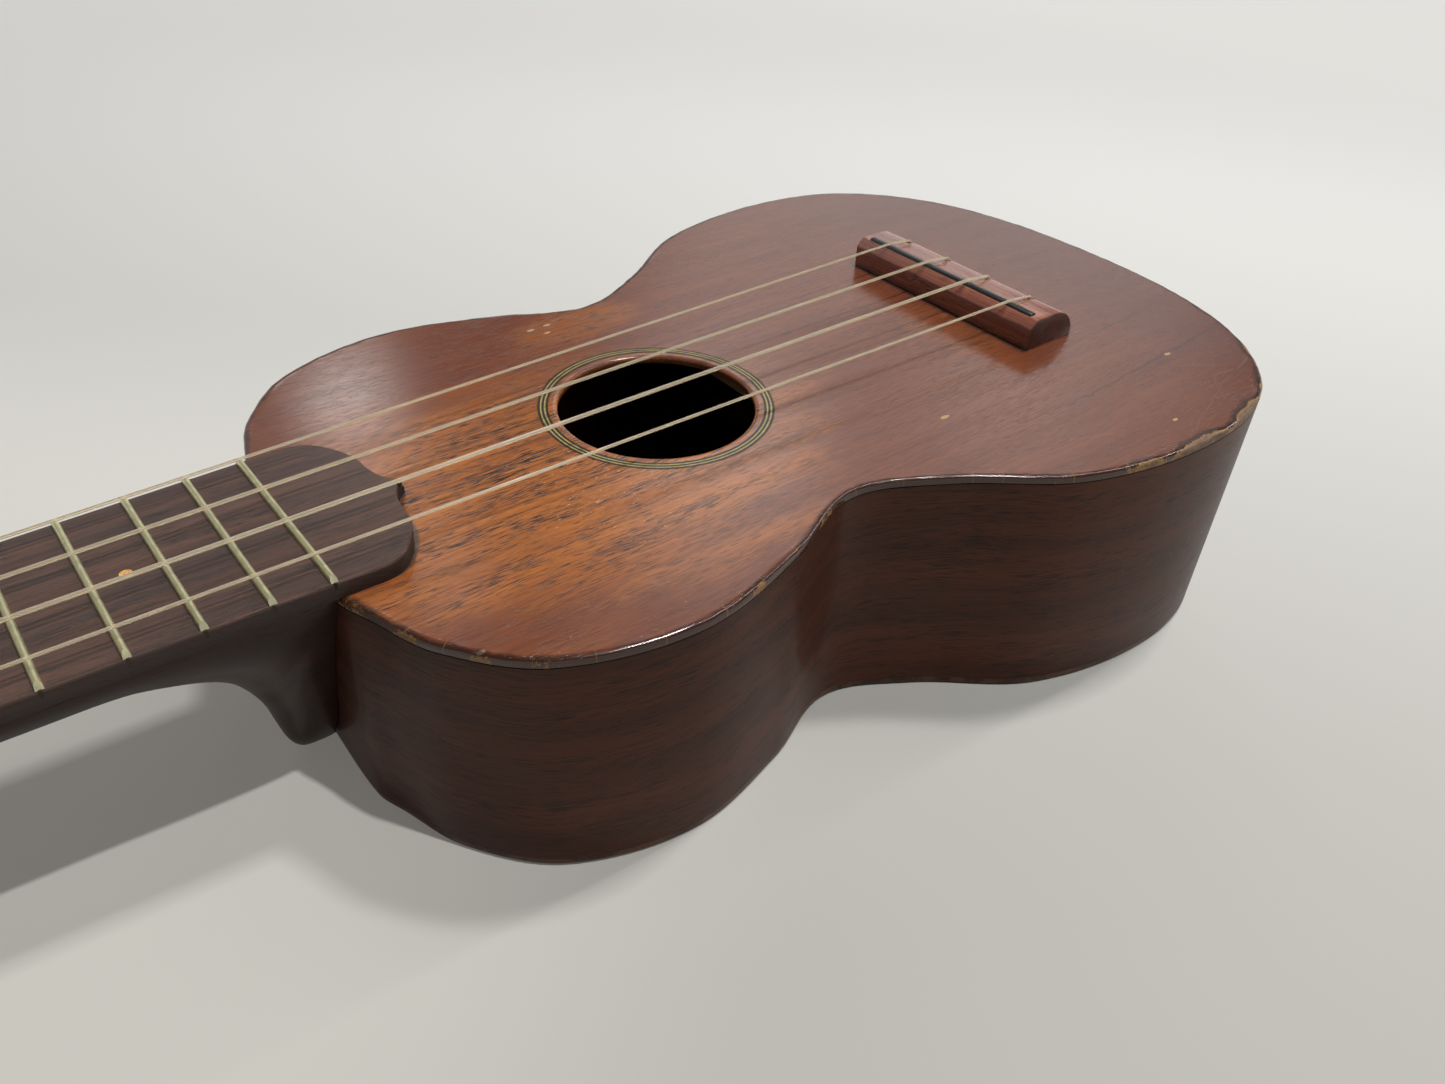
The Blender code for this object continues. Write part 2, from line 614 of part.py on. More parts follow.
def make_tuner(name, head, place, hole_at, hole_turn):
    axis = empty("tuner_axis_" + name, head, (*place, 0))
    seat = BUSHING_TOP + GAP
    under = -HEAD_THICK - GAP
    stem_end = under - STEM_LONG
    bore, bore_top = SCREW_R + GAP, stem_end + SCREW_LONG
    post = turned([
        (0, POST_TALL), *((POST_R - inward, POST_TALL - down) for inward, down in POST_CROWN),
        (POST_R, seat), (SHAFT_R, seat), (SHAFT_R, under), (STEM_R, under), (STEM_R, stem_end),
        (bore, stem_end), (bore, bore_top), (0, bore_top),
    ])
    post = finish(post, "tuner_post_" + name, axis, NICKEL, smooth=True)
    hole = bmesh.new()
    bmesh.ops.create_cone(
        hole, cap_ends=True, segments=12, radius1=STRING_HOLE_R, radius2=STRING_HOLE_R, depth=4 * POST_R,
        matrix=Matrix.Rotation(hole_turn, 4, "Z") @ Matrix.Rotation(math.pi / 2, 4, "Y"),
    )
    cut(post, finish(hole, "cut_string_hole_" + name, axis, RAW_WOOD, (0, 0, hole_at)))
    sleeve, wall = SHAFT_R + GAP, SHAFT_R + GAP + BUSHING_WALL
    bushing = turned([
        (sleeve, BUSHING_TOP), (BUSHING_R - BUSHING_TOP, BUSHING_TOP), (BUSHING_R, BUSHING_TOP / 2),
        (BUSHING_R, GAP), (wall, GAP), (wall, -BUSHING_DEEP), (sleeve, -BUSHING_DEEP),
    ])
    finish(bushing, "tuner_bushing_" + name, axis, NICKEL, smooth=True)
    rings = []
    for down, long, thick in BUTTON:
        rings.append([(thick * p.x, long * p.y, under - down) for p in circle(1, TURNED_SIDES)])
    button = finish(loft(rings), "tuner_button_" + name, axis, IVOROID, smooth=True)
    foot = under - BUTTON_LONG
    seat, stem, recess = foot + SCREW_SUNK, STEM_R + GAP, SCREW_HEAD_R + GAP
    channel = turned([
        (0, under + CUT), (stem, under + CUT), (stem, stem_end - GAP), (bore, stem_end - GAP),
        (bore, seat), (recess, seat), (recess, foot - CUT), (0, foot - CUT),
    ])
    cut(button, finish(channel, "cut_button_" + name, axis, RAW_WOOD))
    low, tip = seat - GAP, bore_top - 2 * GAP
    screw = turned([
        (0, tip), (SCREW_R, tip), (SCREW_R, low), (SCREW_HEAD_R, low),
        (SCREW_HEAD_R, low - SCREW_HEAD_DEEP / 2), (SCREW_CROWN_R, low - SCREW_HEAD_DEEP),
        (0, low - SCREW_HEAD_DEEP),
    ])
    finish(screw, "tuner_screw_" + name, axis, NICKEL, smooth=True)


def winding_points(radius, pitch, start_turn, way):
    """Turns round a post from where the string arrives up to the string hole and through it."""
    def around(turn, height, r=radius):
        at = start_turn + way * 2 * math.pi * turn
        return Vector((r * math.cos(at), r * math.sin(at), height))

    gap_turn = GAP / (2 * math.pi * radius)
    points = []
    steps = round(WINDING_TURNS * TURN_POINTS)
    for i in range(steps + 1):
        turn = max(gap_turn, i / TURN_POINTS)
        points.append(around(turn, WINDING_START + pitch * turn))
    base = WINDING_START + pitch * WINDING_TURNS
    last = round(WINDING_LAST_TURN * TURN_POINTS)
    for i in range(1, last + 1):
        part = i / last
        rise = WINDING_LAST_CLIMB * part * part * (3 - 2 * part)
        points.append(around(WINDING_TURNS + WINDING_LAST_TURN * part, base + rise))
    total = WINDING_TURNS + WINDING_LAST_TURN
    top_height = base + WINDING_LAST_CLIMB
    points.append(around(total + 0.03, top_height + 0.03, radius + 0.12))
    inward = around(total + 0.052, top_height + 0.04, 1.0)
    for reach in (radius - 0.25, radius - 1.3, 0.0, -radius, -radius - 1.8):
        points.append(Vector((inward.x * reach, inward.y * reach, top_height + 0.04)))
    hole_turn = start_turn + way * 2 * math.pi * (total + 0.052)
    return points, top_height + 0.04, hole_turn


def self_gap(points, diameter):
    """Least clear distance between turns that aren't neighbours along the cord."""
    least = math.inf
    for i, a in enumerate(points):
        for b in points[i + TURN_POINTS // 2:]:
            least = min(least, (a - b).length - diameter)
    return least


def make_strings(top, head):
    for i, ((name, diameter, _, _), place) in enumerate(zip(STRINGS, tuner_places())):
        radius = POST_R + GAP + diameter / 2
        pitch = diameter + 0.5
        nut_y, saddle_y = (i - 1.5) * NUT_SPACING, (i - 1.5) * SADDLE_SPACING
        # The string meets its post on the side that faces the middle of the head.
        behind_nut = Vector((-0.6, nut_y))
        centre = Vector(place)
        way = 1 if place[1] < 0 else -1
        run = centre - behind_nut
        lean = math.asin(radius / run.length) * way
        aim = math.atan2(run.y, run.x) - lean
        far = math.sqrt(run.length ** 2 - radius ** 2)
        touch = behind_nut + Vector((math.cos(aim), math.sin(aim))) * far
        start_turn = math.atan2(touch.y - centre.y, touch.x - centre.x)
        points, hole_at, hole_turn = winding_points(radius, pitch, start_turn, way)
        print(f"winding_{name}: least gap to itself {self_gap(points, diameter):.2f} mm")
        placed = [p + Vector((*place, 0)) for p in points]
        tube("winding_" + name, placed, diameter, head, NYLON, 1)
        make_tuner(name, head, place, hole_at, hole_turn)
        # The straight span, over the nut and the saddle to the knot behind the bridge
        start = head_to_top(touch.x, touch.y, WINDING_START)
        half = diameter / 2
        over_saddle = BRIDGE_TOP + SADDLE_PROUD + GAP + half
        over_bridge = BRIDGE_TOP + GAP + half
        saddle_x = SADDLE_FRONT + 1.0
        crown = BRIDGE_BACK + 1.7
        route = [
            start,
            start.lerp(Vector((HEAD_X - 0.6, nut_y, STRING_AT_NUT - 0.62)), 0.5),
            (HEAD_X - 0.6, nut_y, STRING_AT_NUT - 0.62),
            (NUT_X - 2.6, nut_y, STRING_AT_NUT - 0.3),
            (NUT_X - 1.0, nut_y, STRING_AT_NUT - 0.05),
            (NUT_X, nut_y, STRING_AT_NUT),
            (0, nut_y + (saddle_y - nut_y) * NUT_X / (NUT_X - saddle_x),
             STRING_AT_NUT + (over_saddle - STRING_AT_NUT) * NUT_X / (NUT_X - saddle_x)),
            (saddle_x - 0.5, saddle_y, over_saddle),
            (saddle_x + 0.4, saddle_y, over_saddle - 0.02),
            (SLOT_START - 0.4, saddle_y, over_bridge),
            (SLOT_START + 0.8, saddle_y, over_bridge - 0.25),
            (SLOT_START + 1.8, saddle_y, over_bridge - 1.0),
            (BRIDGE_BACK - 1.6, saddle_y, 3.2),
            (BRIDGE_BACK + 0.2, saddle_y, 2.1),
            (crown - 0.9, saddle_y, 1.85),
            (crown - 0.5, saddle_y, 1.75),
            (crown + 0.2, saddle_y, 1.7),
            (crown + 0.8, saddle_y, 1.7),
            (crown + 1.1, saddle_y, 1.7),
        ]
        knot = (1.0, 0.8 / half, 1.2 / half, 0.9 / half, 0.4 / half)
        tube("string_" + name, route, diameter, top, NYLON, 2, knot)


def main():
    for old in list(bpy.data.objects):
        bpy.data.objects.remove(old)
    root = empty("instrument")
    top = empty("soundboard_frame", root, (0, 0, DEPTH_AT_JOINT * math.cos(LEAN)), -LEAN)
    head = empty("head_frame", top, (HEAD_X, 0, 0), -math.radians(HEAD_TILT))
    make_soundboard(top)
    make_back(root)
    make_sides(top)
    make_blocks(top)
    make_braces(top)
    make_bridge(top)
    make_neck(top)
    make_fingerboard(top)
    make_frets(top)
    make_nut(top)
    make_strings(top, head)
    # Centre the instrument over the origin, from the headstock's tip to the foot of the tail.
    tip = head_to_top(-HEAD_LONG, 0, 0)
    stern = Vector((BODY_LENGTH, 0, inside_back(BODY_LENGTH, 0)))
    ends = [p.x * math.cos(LEAN) - p.z * math.sin(LEAN) for p in (tip, stern)]
    root.location.x = -sum(ends) / 2 * MM


main()
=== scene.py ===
"""The soprano ukulele as it looks: old mahogany under worn lacquer, nylon strings, friction tuners.

The shapes are made in millimetres, in the soundboard's frame, the headstock's frame or the
back's, as in the part's source, and are then moved to their places in metres. Each one keeps
attributes for its finish: flow, its own coordinates along, across and through the grain, and
where they are needed dark, how far it is painted darker: shade painted into the bridge's string
slots and onto the fingerboard's sides and end, and the bridge's darker ends; and rim, run and
wear: the distance from its worn edge, the place along that edge and how far it is bare there.
"""

import math

import bmesh
import bpy
from mathutils import Matrix, Vector, kdtree, noise
from mathutils.geometry import interpolate_bezier


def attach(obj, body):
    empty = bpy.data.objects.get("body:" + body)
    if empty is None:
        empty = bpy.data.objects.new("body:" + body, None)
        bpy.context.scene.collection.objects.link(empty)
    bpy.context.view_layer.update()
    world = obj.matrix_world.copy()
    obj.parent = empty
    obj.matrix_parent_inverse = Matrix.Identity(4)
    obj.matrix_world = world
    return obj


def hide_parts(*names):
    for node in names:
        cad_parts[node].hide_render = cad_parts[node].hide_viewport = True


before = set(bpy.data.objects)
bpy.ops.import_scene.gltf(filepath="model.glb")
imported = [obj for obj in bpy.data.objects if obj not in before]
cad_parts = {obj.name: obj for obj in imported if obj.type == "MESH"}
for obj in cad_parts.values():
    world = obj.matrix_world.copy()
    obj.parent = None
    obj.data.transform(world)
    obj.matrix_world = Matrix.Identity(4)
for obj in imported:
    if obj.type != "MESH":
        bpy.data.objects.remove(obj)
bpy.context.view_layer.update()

# Frames of the soundboard, the headstock and the back
MM = 0.001
NECK_JOINT = (0.0244942, 0, 0.0519215)
LEAN = math.atan(0.055)
HEAD_TILT = math.radians(5)
NUT_X, HEAD_X = -173.0, -177.8
BACK = Matrix.Translation((NECK_JOINT[0], 0, 0)) @ Matrix.Scale(MM, 4)
TOP = Matrix.Translation(NECK_JOINT) @ Matrix.Rotation(-LEAN, 4, "Y") @ Matrix.Scale(MM, 4)
HEAD_TILTED = Matrix.Translation((HEAD_X, 0, 0)) @ Matrix.Rotation(-HEAD_TILT, 4, "Y")
HEAD = TOP @ HEAD_TILTED

# Body
DEPTH, DEPTH_GAIN = 52.0, 0.055
BODY_LENGTH = 236.2
TOP_THICK, BACK_THICK, SIDE_THICK = 1.9, 2.0, 1.8
OUTLINE = (
    (0, 0), (0, 21), (2.3, 28), (8, 42.4), (22, 56.8), (47, 63.3), (73, 57.6), (95, 49.4),
    (115, 57.4), (140, 73.6), (173, 79.9), (202, 75.2), (222, 58.4), (233, 33.5), (BODY_LENGTH, 0),
)
OUTLINE_STEPS = 14
HOLE_X, HOLE_R = 82.5, 21.6
RINGS = (23.6, 24.15, 24.5, 25.0, 25.35, 25.9)  # edges of the dark and cream lines

# Wear of the soundboard: places on its rim with their reach along it and the bare width, then marks on its face
# as two ends and a half width
WEAR = (
    (0, -22, 12, 1.0), (5, -38, 10, 1.0), (12.5, -48.4, 3, 1.3), (24, -57, 9, 0.6), (46, -63, 10, 0.4),
    (62, -61, 5, 0.9), (86, -52, 6, 0.8), (108, -54, 6, 0.6), (133, -69, 8, 0.6), (153, -78, 8, 1.5),
    (172, -80, 13, 2.7), (192, -78, 12, 2.9), (208, -71, 9, 1.9), (220, -60, 8, 1.7), (230, -44, 8, 1.4),
    (236, 0, 14, 0.6), (20, 56, 10, 0.7), (60, 62, 8, 0.6), (150, 77, 14, 0.7), (215, 66, 10, 1.0),
)
SEAM = (
    ((228, -48.8), (214, -50), 0.4), ((214, -50), (203, -50.6), 0.5), ((203, -50.6), (184, -51.6), 0.4),
    ((184, -51.6), (158, -52.8), 0.22), ((213.6, -32.5), (196, -33.6), 0.3),
)
SCRATCHES = (
    ((192, -71.5), (200, -63.7), 0.2), ((200, -63.7), (207.8, -65), 0.24), ((207.8, -65), (219, -62.8), 0.3),
    ((174, -75.6), (202.4, -66.1), 0.18), ((146, -62.2), (161.4, -67.2), 0.15), ((196, -55), (205, -61), 0.2),
)
NICKS = (
    (200, -50.9, 0.5), (131.4, -40.2, 0.6), (77.5, 45, 0.5), (82.2, 45.3, 0.5), (80.2, 41.8, 0.45),
    (174, -70.5, 0.4), (12.8, -47.9, 0.45),
)

# Bridge
BRIDGE_FRONT, BRIDGE_BACK, BRIDGE_HALF = 171.4, 188.4, 30.2
BRIDGE_TOP, BRIDGE_BEVEL, BRIDGE_FLAT_END = 7.6, 2.0, 180.4
SADDLE_FRONT, SADDLE_THICK, SADDLE_HALF = 173.5, 2.2, 27.6
SADDLE_DEEP, SADDLE_PROUD = 3.2, 0.6
SLOT_START, SLOT_FLOOR = 180.9, 1.2

# Fingerboard, frets and nut
SCALE_LENGTH = 346.0
BOARD_HALF, NUT_HALF, BOARD_TOP = 22.5, 17.3, 3.4
BOARD_END = ((8, 22.7), (11.6, 22.1), (14.4, 20), (17.2, 15.8), (18.8, 11.4), (19.1, 7.4), (20.2, 3.2), (23, 0))
FRET_WIDE, FRET_TOP, FRET_CROWN = 1.3, 4.6, 0.9
FRET_BEVEL, FRET_BEVEL_FROM = 0.9, 3.6
TANG_WIDE, TANG_DEEP = 0.5, 1.3
NUT_THICK, NUT_TOP = 4.5, 5.6
MARKER_FRETS, MARKER_R, MARKER_DEEP = (5, 7, 10), 1.1, 1.2

# Headstock, neck and heel
HEAD_LONG, HEAD_THICK, HEAD_TIP_HALF = 112.0, 10.5, 9.0
HEAD_OUTLINE = ((0, 17.4), (7, 17.9), (20, 23.4), (36, 26.4), (70, 28.6), (96, 30), (106, 27.4), (111, 18))
# Slices: middle of the flat side as x and z, lowest point as x and z, half width, taper, squareness
NECK = (
    (NUT_X, 0, NUT_X, -9.6, 17.3, 0, 2.2), (-150, 0, -150, -9.7, 17.99, 0, 2.2),
    (-110, 0, -110, -9.8, 19.19, 0, 2.2), (-70, 0, -70, -9.9, 20.4, 0, 2.2),
    (-46, 0, -46, -10.0, 21.12, 0, 2.2), (-35, 0, -35, -10.8, 21.45, 0.02, 2.2),
    (-26, 0, -27.3, -14.4, 21.7, 0.04, 2.2), (-18, 0, -22.5, -18.2, 22.0, 0.1, 2.2),
    (-10, 0, -18.7, -22.2, 22.2, 0.18, 2.3), (-4, 0, -16.2, -26.1, 22.4, 0.28, 2.4),
    (-0.3, 0, -14.3, -29.7, 22.3, 0.36, 2.5), (-0.3, -13, -12.7, -33.4, 16.9, 0.26, 2.5),
    (-0.3, -24, -11.5, -37.5, 12.6, 0.18, 2.4), (-0.3, -34, -10.5, -42.4, 9.2, 0.1, 2.4),
    (-0.3, -41.5, -9.4, -46.9, 6.6, 0.05, 2.4), (-0.3, -46.5, -7.8, -49.9, 4.2, 0.05, 2.3),
    (-0.3, -49.6, -5.9, -50.7, 2.5, 0.05, 2.2),
)

# Strings, bass to treble: name, diameter, tuner's distance from the nut, its side of the head
STRINGS = (("g", 0.66, 34.0, -18.0), ("c", 0.86, 74.0, -20.5), ("e", 0.76, 74.0, 20.5), ("a", 0.62, 34.0, 18.0))
SADDLE_SPACING, NUT_SPACING, STRING_AT_NUT = 13.8, 9.6, 5.35
GAP = 0.3

# Tuners, up from the headstock's face
POST_R, POST_TALL, SHAFT_R, STEM_R, STEM_LONG = 2.8, 12.6, 2.4, 1.8, 8.0
BUSHING_R, BUSHING_TOP, BUSHING_DEEP = 5.0, 1.3, 6.0
STRING_HOLE_R = 0.85
BUTTON = (
    (0, 4.4, 4.4), (1.6, 4.4, 4.4), (2.8, 4.6, 3.3), (4.6, 6.8, 3.0), (7, 8.2, 3.2), (9.6, 8.2, 3.2),
    (11.8, 6.8, 3.1), (12.8, 4.8, 2.95), (13.2, 3.9, 2.9),
)
WINDING_START, WINDING_TURNS, LAST_TURN, LAST_CLIMB = 3.4, 2.25, 0.75, 1.9

# How fine the shapes are: sides of a cord, half a slice of the neck, the hole and its ring, a turn, the sides' height
CORD_SIDES, NECK_STEPS, ROUND_STEPS, TURN_STEPS, SIDE_ROWS = 12, 36, 120, 36, 8
SHARP_FROM = math.radians(35)
# The soundboard's edge: the waves' reach inward, height, closeness and seed, and the reach of its glossier band
EDGE_WAVES, EDGE_SEED, EDGE_LACQUER = (1.3, 0.12, 0.35), 3, 1.5


# Lines and outlines


def smooth_line(points, steps, start, end):
    """A smooth line through the points, leaving along start and arriving along end."""
    points = [Vector(p) for p in points]
    along = [Vector(start).normalized()]
    along += [(after - before).normalized() for before, after in zip(points, points[2:])]
    along.append(Vector(end).normalized())
    line = []
    for i, (a, b) in enumerate(zip(points, points[1:])):
        reach = (b - a).length / 3
        curve = interpolate_bezier(a, a + along[i] * reach, b - along[i + 1] * reach, b, steps + 1)
        line += [p.to_2d() for p in curve[:-1]]
    return line + [points[-1].to_2d()]


def whole(line):
    """The closed outline of both halves, from a half outline."""
    return list(line) + [Vector((p.x, -p.y)) for p in reversed(line[1:-1])]


def inset(outline, distance):
    """A closed outline moved inward."""
    moved = []
    for i, point in enumerate(outline):
        run = outline[(i + 1) % len(outline)] - outline[i - 1]
        moved.append(point + Vector((run.y, -run.x)).normalized() * distance)
    return moved


def circle(steps):
    """Places round a circle of radius 1."""
    turns = [2 * math.pi * i / steps for i in range(steps)]
    return [Vector((math.cos(turn), math.sin(turn))) for turn in turns]


def filled_in(rows, steps):
    """Rows of numbers with smooth rows between the given ones."""
    rows = [tuple(map(float, row)) for row in rows]
    full = []
    for i in range(len(rows) - 1):
        before, a, b, after = rows[max(i - 1, 0)], rows[i], rows[i + 1], rows[min(i + 2, len(rows) - 1)]
        span = [max(math.dist(p[:4], q[:4]), 1e-6) for p, q in ((before, a), (a, b), (b, after))]
        for step in range(steps):
            t = step / steps
            row = []
            for n in range(len(a)):
                leave = (b[n] - before[n]) / (span[0] + span[1]) * span[1]
                arrive = (after[n] - a[n]) / (span[1] + span[2]) * span[1]
                row.append(
                    (2 * t**3 - 3 * t**2 + 1) * a[n] + (t**3 - 2 * t**2 + t) * leave
                    + (3 * t**2 - 2 * t**3) * b[n] + (t**3 - t**2) * arrive
                )
            full.append(row)
    return full + [list(rows[-1])]


def fret_x(number):
    return SCALE_LENGTH * (0.5 - 2 ** (-number / 12))


def board_half(x):
    return BOARD_HALF + (NUT_HALF - BOARD_HALF) * x / NUT_X


def body_line():
    return smooth_line(OUTLINE, OUTLINE_STEPS, (0, 1), (0, -1))


def back_top(x):
    """Height of the back plate's upper face in the soundboard frame."""
    return BACK_THICK / math.cos(LEAN) - DEPTH - DEPTH_GAIN * x


# Shapes


def limited(number):
    return min(1.0, max(0.0, number))


def only(kind, made):
    """The parts of one kind among those that an operator made."""
    return [part for part in made["geom"] if isinstance(part, kind)]


def ring(bm, points):
    """A closed loop of edges through the points."""
    verts = [bm.verts.new(p) for p in points]
    return [bm.edges.new(pair) for pair in zip(verts, verts[1:] + verts[:1])]


def skin(bm, rings):
    for one, other in zip(rings, rings[1:]):
        bmesh.ops.bridge_loops(bm, edges=one + other)


def loft(sections):
    """Closed loops joined in order, with both ends filled."""
    bm = bmesh.new()
    rings = [ring(bm, section) for section in sections]
    skin(bm, rings)
    for end in (rings[0], rings[-1]):
        bmesh.ops.contextual_create(bm, geom=end)
    return bm


def turned(profile, steps=48, closed=None, x=0.0):
    """A profile of radius and height turned round an upright axis at x, closed if it starts off the axis."""
    bm = bmesh.new()
    closed = profile[0][0] > 0 if closed is None else closed
    verts = [bm.verts.new((x + r, 0, z)) for r, z in profile]
    edges = [bm.edges.new(pair) for pair in zip(verts, verts[1:] + ([verts[0]] if closed else []))]
    bmesh.ops.spin(
        bm, geom=verts + edges, cent=(x, 0, 0), axis=(0, 0, 1), angle=2 * math.pi, steps=steps, use_merge=True
    )
    bmesh.ops.remove_doubles(bm, verts=bm.verts, dist=0.001)
    return bm


def across(profile, half):
    """A profile of x and z pulled across from -half to half."""
    bm = bmesh.new()
    bm.faces.new([bm.verts.new((x, -half, z)) for x, z in profile])
    pulled = bmesh.ops.extrude_face_region(bm, geom=bm.faces[:])
    bmesh.ops.translate(bm, vec=(0, 2 * half, 0), verts=only(bmesh.types.BMVert, pulled))
    return bm


def block(low, high, bm=None):
    """A box between two corners, alone or added to a shape."""
    bm = bm or bmesh.new()
    low, high = Vector(low), Vector(high)
    made = bmesh.ops.create_cube(bm, size=1)["verts"]
    bmesh.ops.scale(bm, vec=high - low, verts=made)
    bmesh.ops.translate(bm, vec=(high + low) / 2, verts=made)
    return bm


def ease(bm, width, least=50, segments=2):
    """Rounds the edges that turn by more than least degrees."""
    bmesh.ops.recalc_face_normals(bm, faces=bm.faces)
    edges = [e for e in bm.edges if len(e.link_faces) == 2 and e.calc_face_angle() > math.radians(least)]
    bmesh.ops.bevel(
        bm, geom=edges, offset=width, affect="EDGES", segments=segments, profile=0.5, material=-1, clamp_overlap=True
    )
    return bm


def tube(points, diameter, swell=()):
    """A round cord through the points. swell gives the last points' radii."""
    curve = bpy.data.curves.new("cord", "CURVE")
    curve.dimensions = "3D"
    curve.bevel_depth = diameter / 2
    curve.bevel_resolution = CORD_SIDES // 4 - 1
    curve.use_fill_caps = True
    spline = curve.splines.new("POLY")
    spline.points.add(len(points) - 1)
    radii = [1.0] * (len(points) - len(swell)) + list(swell)
    for point, place, radius in zip(spline.points, points, radii):
        point.co = (*place, 1)
        point.radius = radius
    return from_object(added("cord", curve))


def added(name, data):
    """A new object in the scene."""
    made = bpy.data.objects.new(name, data)
    bpy.context.scene.collection.objects.link(made)
    return made


def from_object(made):
    """The finished mesh of a helper object, which then goes."""
    evaluated = made.evaluated_get(bpy.context.evaluated_depsgraph_get())
    bm = bmesh.new()
    bm.from_mesh(evaluated.to_mesh())
    bpy.data.objects.remove(made)
    bmesh.ops.remove_doubles(bm, verts=bm.verts, dist=0.0005)
    return bm


def as_object(name, bm):
    """A new object with a shape as its mesh."""
    mesh = bpy.data.meshes.new(name)
    bm.to_mesh(mesh)
    bm.free()
    return added(name, mesh)


def carved(bm, cutter):
    """A shape with another cut out of it."""
    for shape in (bm, cutter):
        bmesh.ops.recalc_face_normals(shape, faces=shape.faces)
    knife, stock = as_object("knife", cutter), as_object("stock", bm)
    boolean = stock.modifiers.new("cut", "BOOLEAN")
    boolean.operation = "DIFFERENCE"
    boolean.solver = "EXACT"
    boolean.object = knife
    made = from_object(stock)
    bpy.data.objects.remove(knife)
    return made


def piece(name, bm, place, look, body="instrument", aside=False):
    """Moves a shape to its place and shows it for its CAD node. aside turns the grain across."""
    bmesh.ops.recalc_face_normals(bm, faces=bm.faces)
    flow = bm.verts.layers.float_vector.get("flow")
    if not flow:
        flow = bm.verts.layers.float_vector.new("flow")
        for vert in bm.verts:
            vert[flow] = vert.co.yxz if aside else vert.co
    bm.transform(place)
    made = as_object("fine_" + name, bm)
    made.data.shade_smooth()
    made.data.set_sharp_from_angle(angle=SHARP_FROM)
    for material in look if isinstance(look, list) else [look]:
        made.data.materials.append(material)
    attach(made, body)
    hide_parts(name)
    return made


def measure_rim(bm, line, worn=()):
    """Stores each vertex's distance from a worn edge, its place along it, and how far that place is bare."""
    layers = [bm.verts.layers.float.new(name) for name in ("rim", "run", "wear")]
    tree = kdtree.KDTree(len(line))
    runs = [0.0]
    for i, point in enumerate(line):
        tree.insert((point.x, point.y, 0), i)
        runs.append(runs[-1] + (point - line[i - 1]).length)
    tree.balance()
    for vert in bm.verts:
        place, i, far = tree.find((vert.co.x, vert.co.y, 0))
        bare = [reach * max(0.0, 1 - (math.dist((x, y), place[:2]) / spread) ** 2) for x, y, spread, reach in worn]
        for layer, found in zip(layers, (far, runs[i + 1], max(bare, default=0.0) - 0.8)):
            vert[layer] = found


# Node trees


canvas = None  # the node tree that the next nodes go into


def draw_on(tree):
    """Makes a node tree the one that the next nodes go into."""
    global canvas
    canvas = tree
    return tree


def value(socket, given):
    """Links a socket, or sets its number, its vector or its colour of three parts."""
    if isinstance(given, bpy.types.NodeSocket):
        canvas.links.new(given, socket)
    else:
        socket.default_value = (*given, 1) if socket.type == "RGBA" else given


def put(kind, settings=None, **inputs):
    """Adds a node with its settings, and its inputs by name, with _ for a space."""
    made = canvas.nodes.new("ShaderNode" + kind)
    for name, setting in (settings or {}).items():
        setattr(made, name, setting)
    for name, given in inputs.items():
        value(made.inputs[name.replace("_", " ")], given)
    return made


def maths(operation, a, b=0.0, c=0.0, clamp=False):
    made = put("Math", {"operation": operation, "use_clamp": clamp})
    for socket, given in zip(made.inputs, (a, b, c)):
        value(socket, given)
    return made.outputs[0]


def times(a, b, plus=None, clamp=False):
    """a times b, with plus added where it is given."""
    if plus is None:
        return maths("MULTIPLY", a, b, clamp=clamp)
    return maths("MULTIPLY_ADD", a, b, plus, clamp)


def vectors(operation, *given, **named):
    """The result of a vector maths node."""
    made = put("VectorMath", {"operation": operation}, **named)
    for socket, part in zip(made.inputs, given):
        value(socket, part)
    return made.outputs["Value" if operation in ("DOT_PRODUCT", "LENGTH", "DISTANCE") else "Vector"]


def mix(factor, a, b, blend="MIX", clamp=True):
    made = put("Mix", {"data_type": "RGBA", "clamp_factor": clamp, "blend_type": blend})
    for socket, given in ((0, factor), (6, a), (7, b)):
        value(made.inputs[socket], given)
    return made.outputs[2]


def painted(colour, paint, where, amount=1.0):
    """A colour with paint over it where the mask says, as thick as amount."""
    return mix(where if amount == 1 else times(where, amount), colour, paint)


def step(given, low, high, to=1.0):
    """0 below low and to above high, smooth between."""
    smooth = {"interpolation_type": "SMOOTHSTEP"}
    return put("MapRange", smooth, Value=given, From_Min=low, From_Max=high, To_Max=to).outputs[0]


def stretched(vector, scale):
    return put("Mapping", Vector=vector, Scale=scale).outputs[0]


def speckle(vector, scale, detail=2.0, roughness=0.5, distortion=0.0):
    """Cloudy noise from 0 to 1, as fine as scale says, which is one number or one for each axis."""
    if isinstance(scale, tuple):
        vector, scale = stretched(vector, scale), 1.0
    made = put("TexNoise", Vector=vector, Scale=scale, Detail=detail, Roughness=roughness, Distortion=distortion)
    return made.outputs["Fac"]


def new_group(name, numbers, outputs):
    """An empty node group whose inputs are the flow and some numbers, with their defaults."""
    tree = draw_on(bpy.data.node_groups.new(name, "ShaderNodeTree"))
    new_socket = tree.interface.new_socket
    new_socket("Flow", in_out="INPUT", socket_type="NodeSocketVector")
    for label, start in numbers.items():
        new_socket(label, in_out="INPUT", socket_type="NodeSocketFloat").default_value = start
    for label in outputs:
        new_socket(label, in_out="OUTPUT", socket_type="NodeSocketFloat")
    return tree.nodes.new("NodeGroupInput").outputs, tree.nodes.new("NodeGroupOutput").inputs


def use(group, **inputs):
    """Places a node group and gives its outputs."""
    return put("Group", {"node_tree": group}, **inputs).outputs


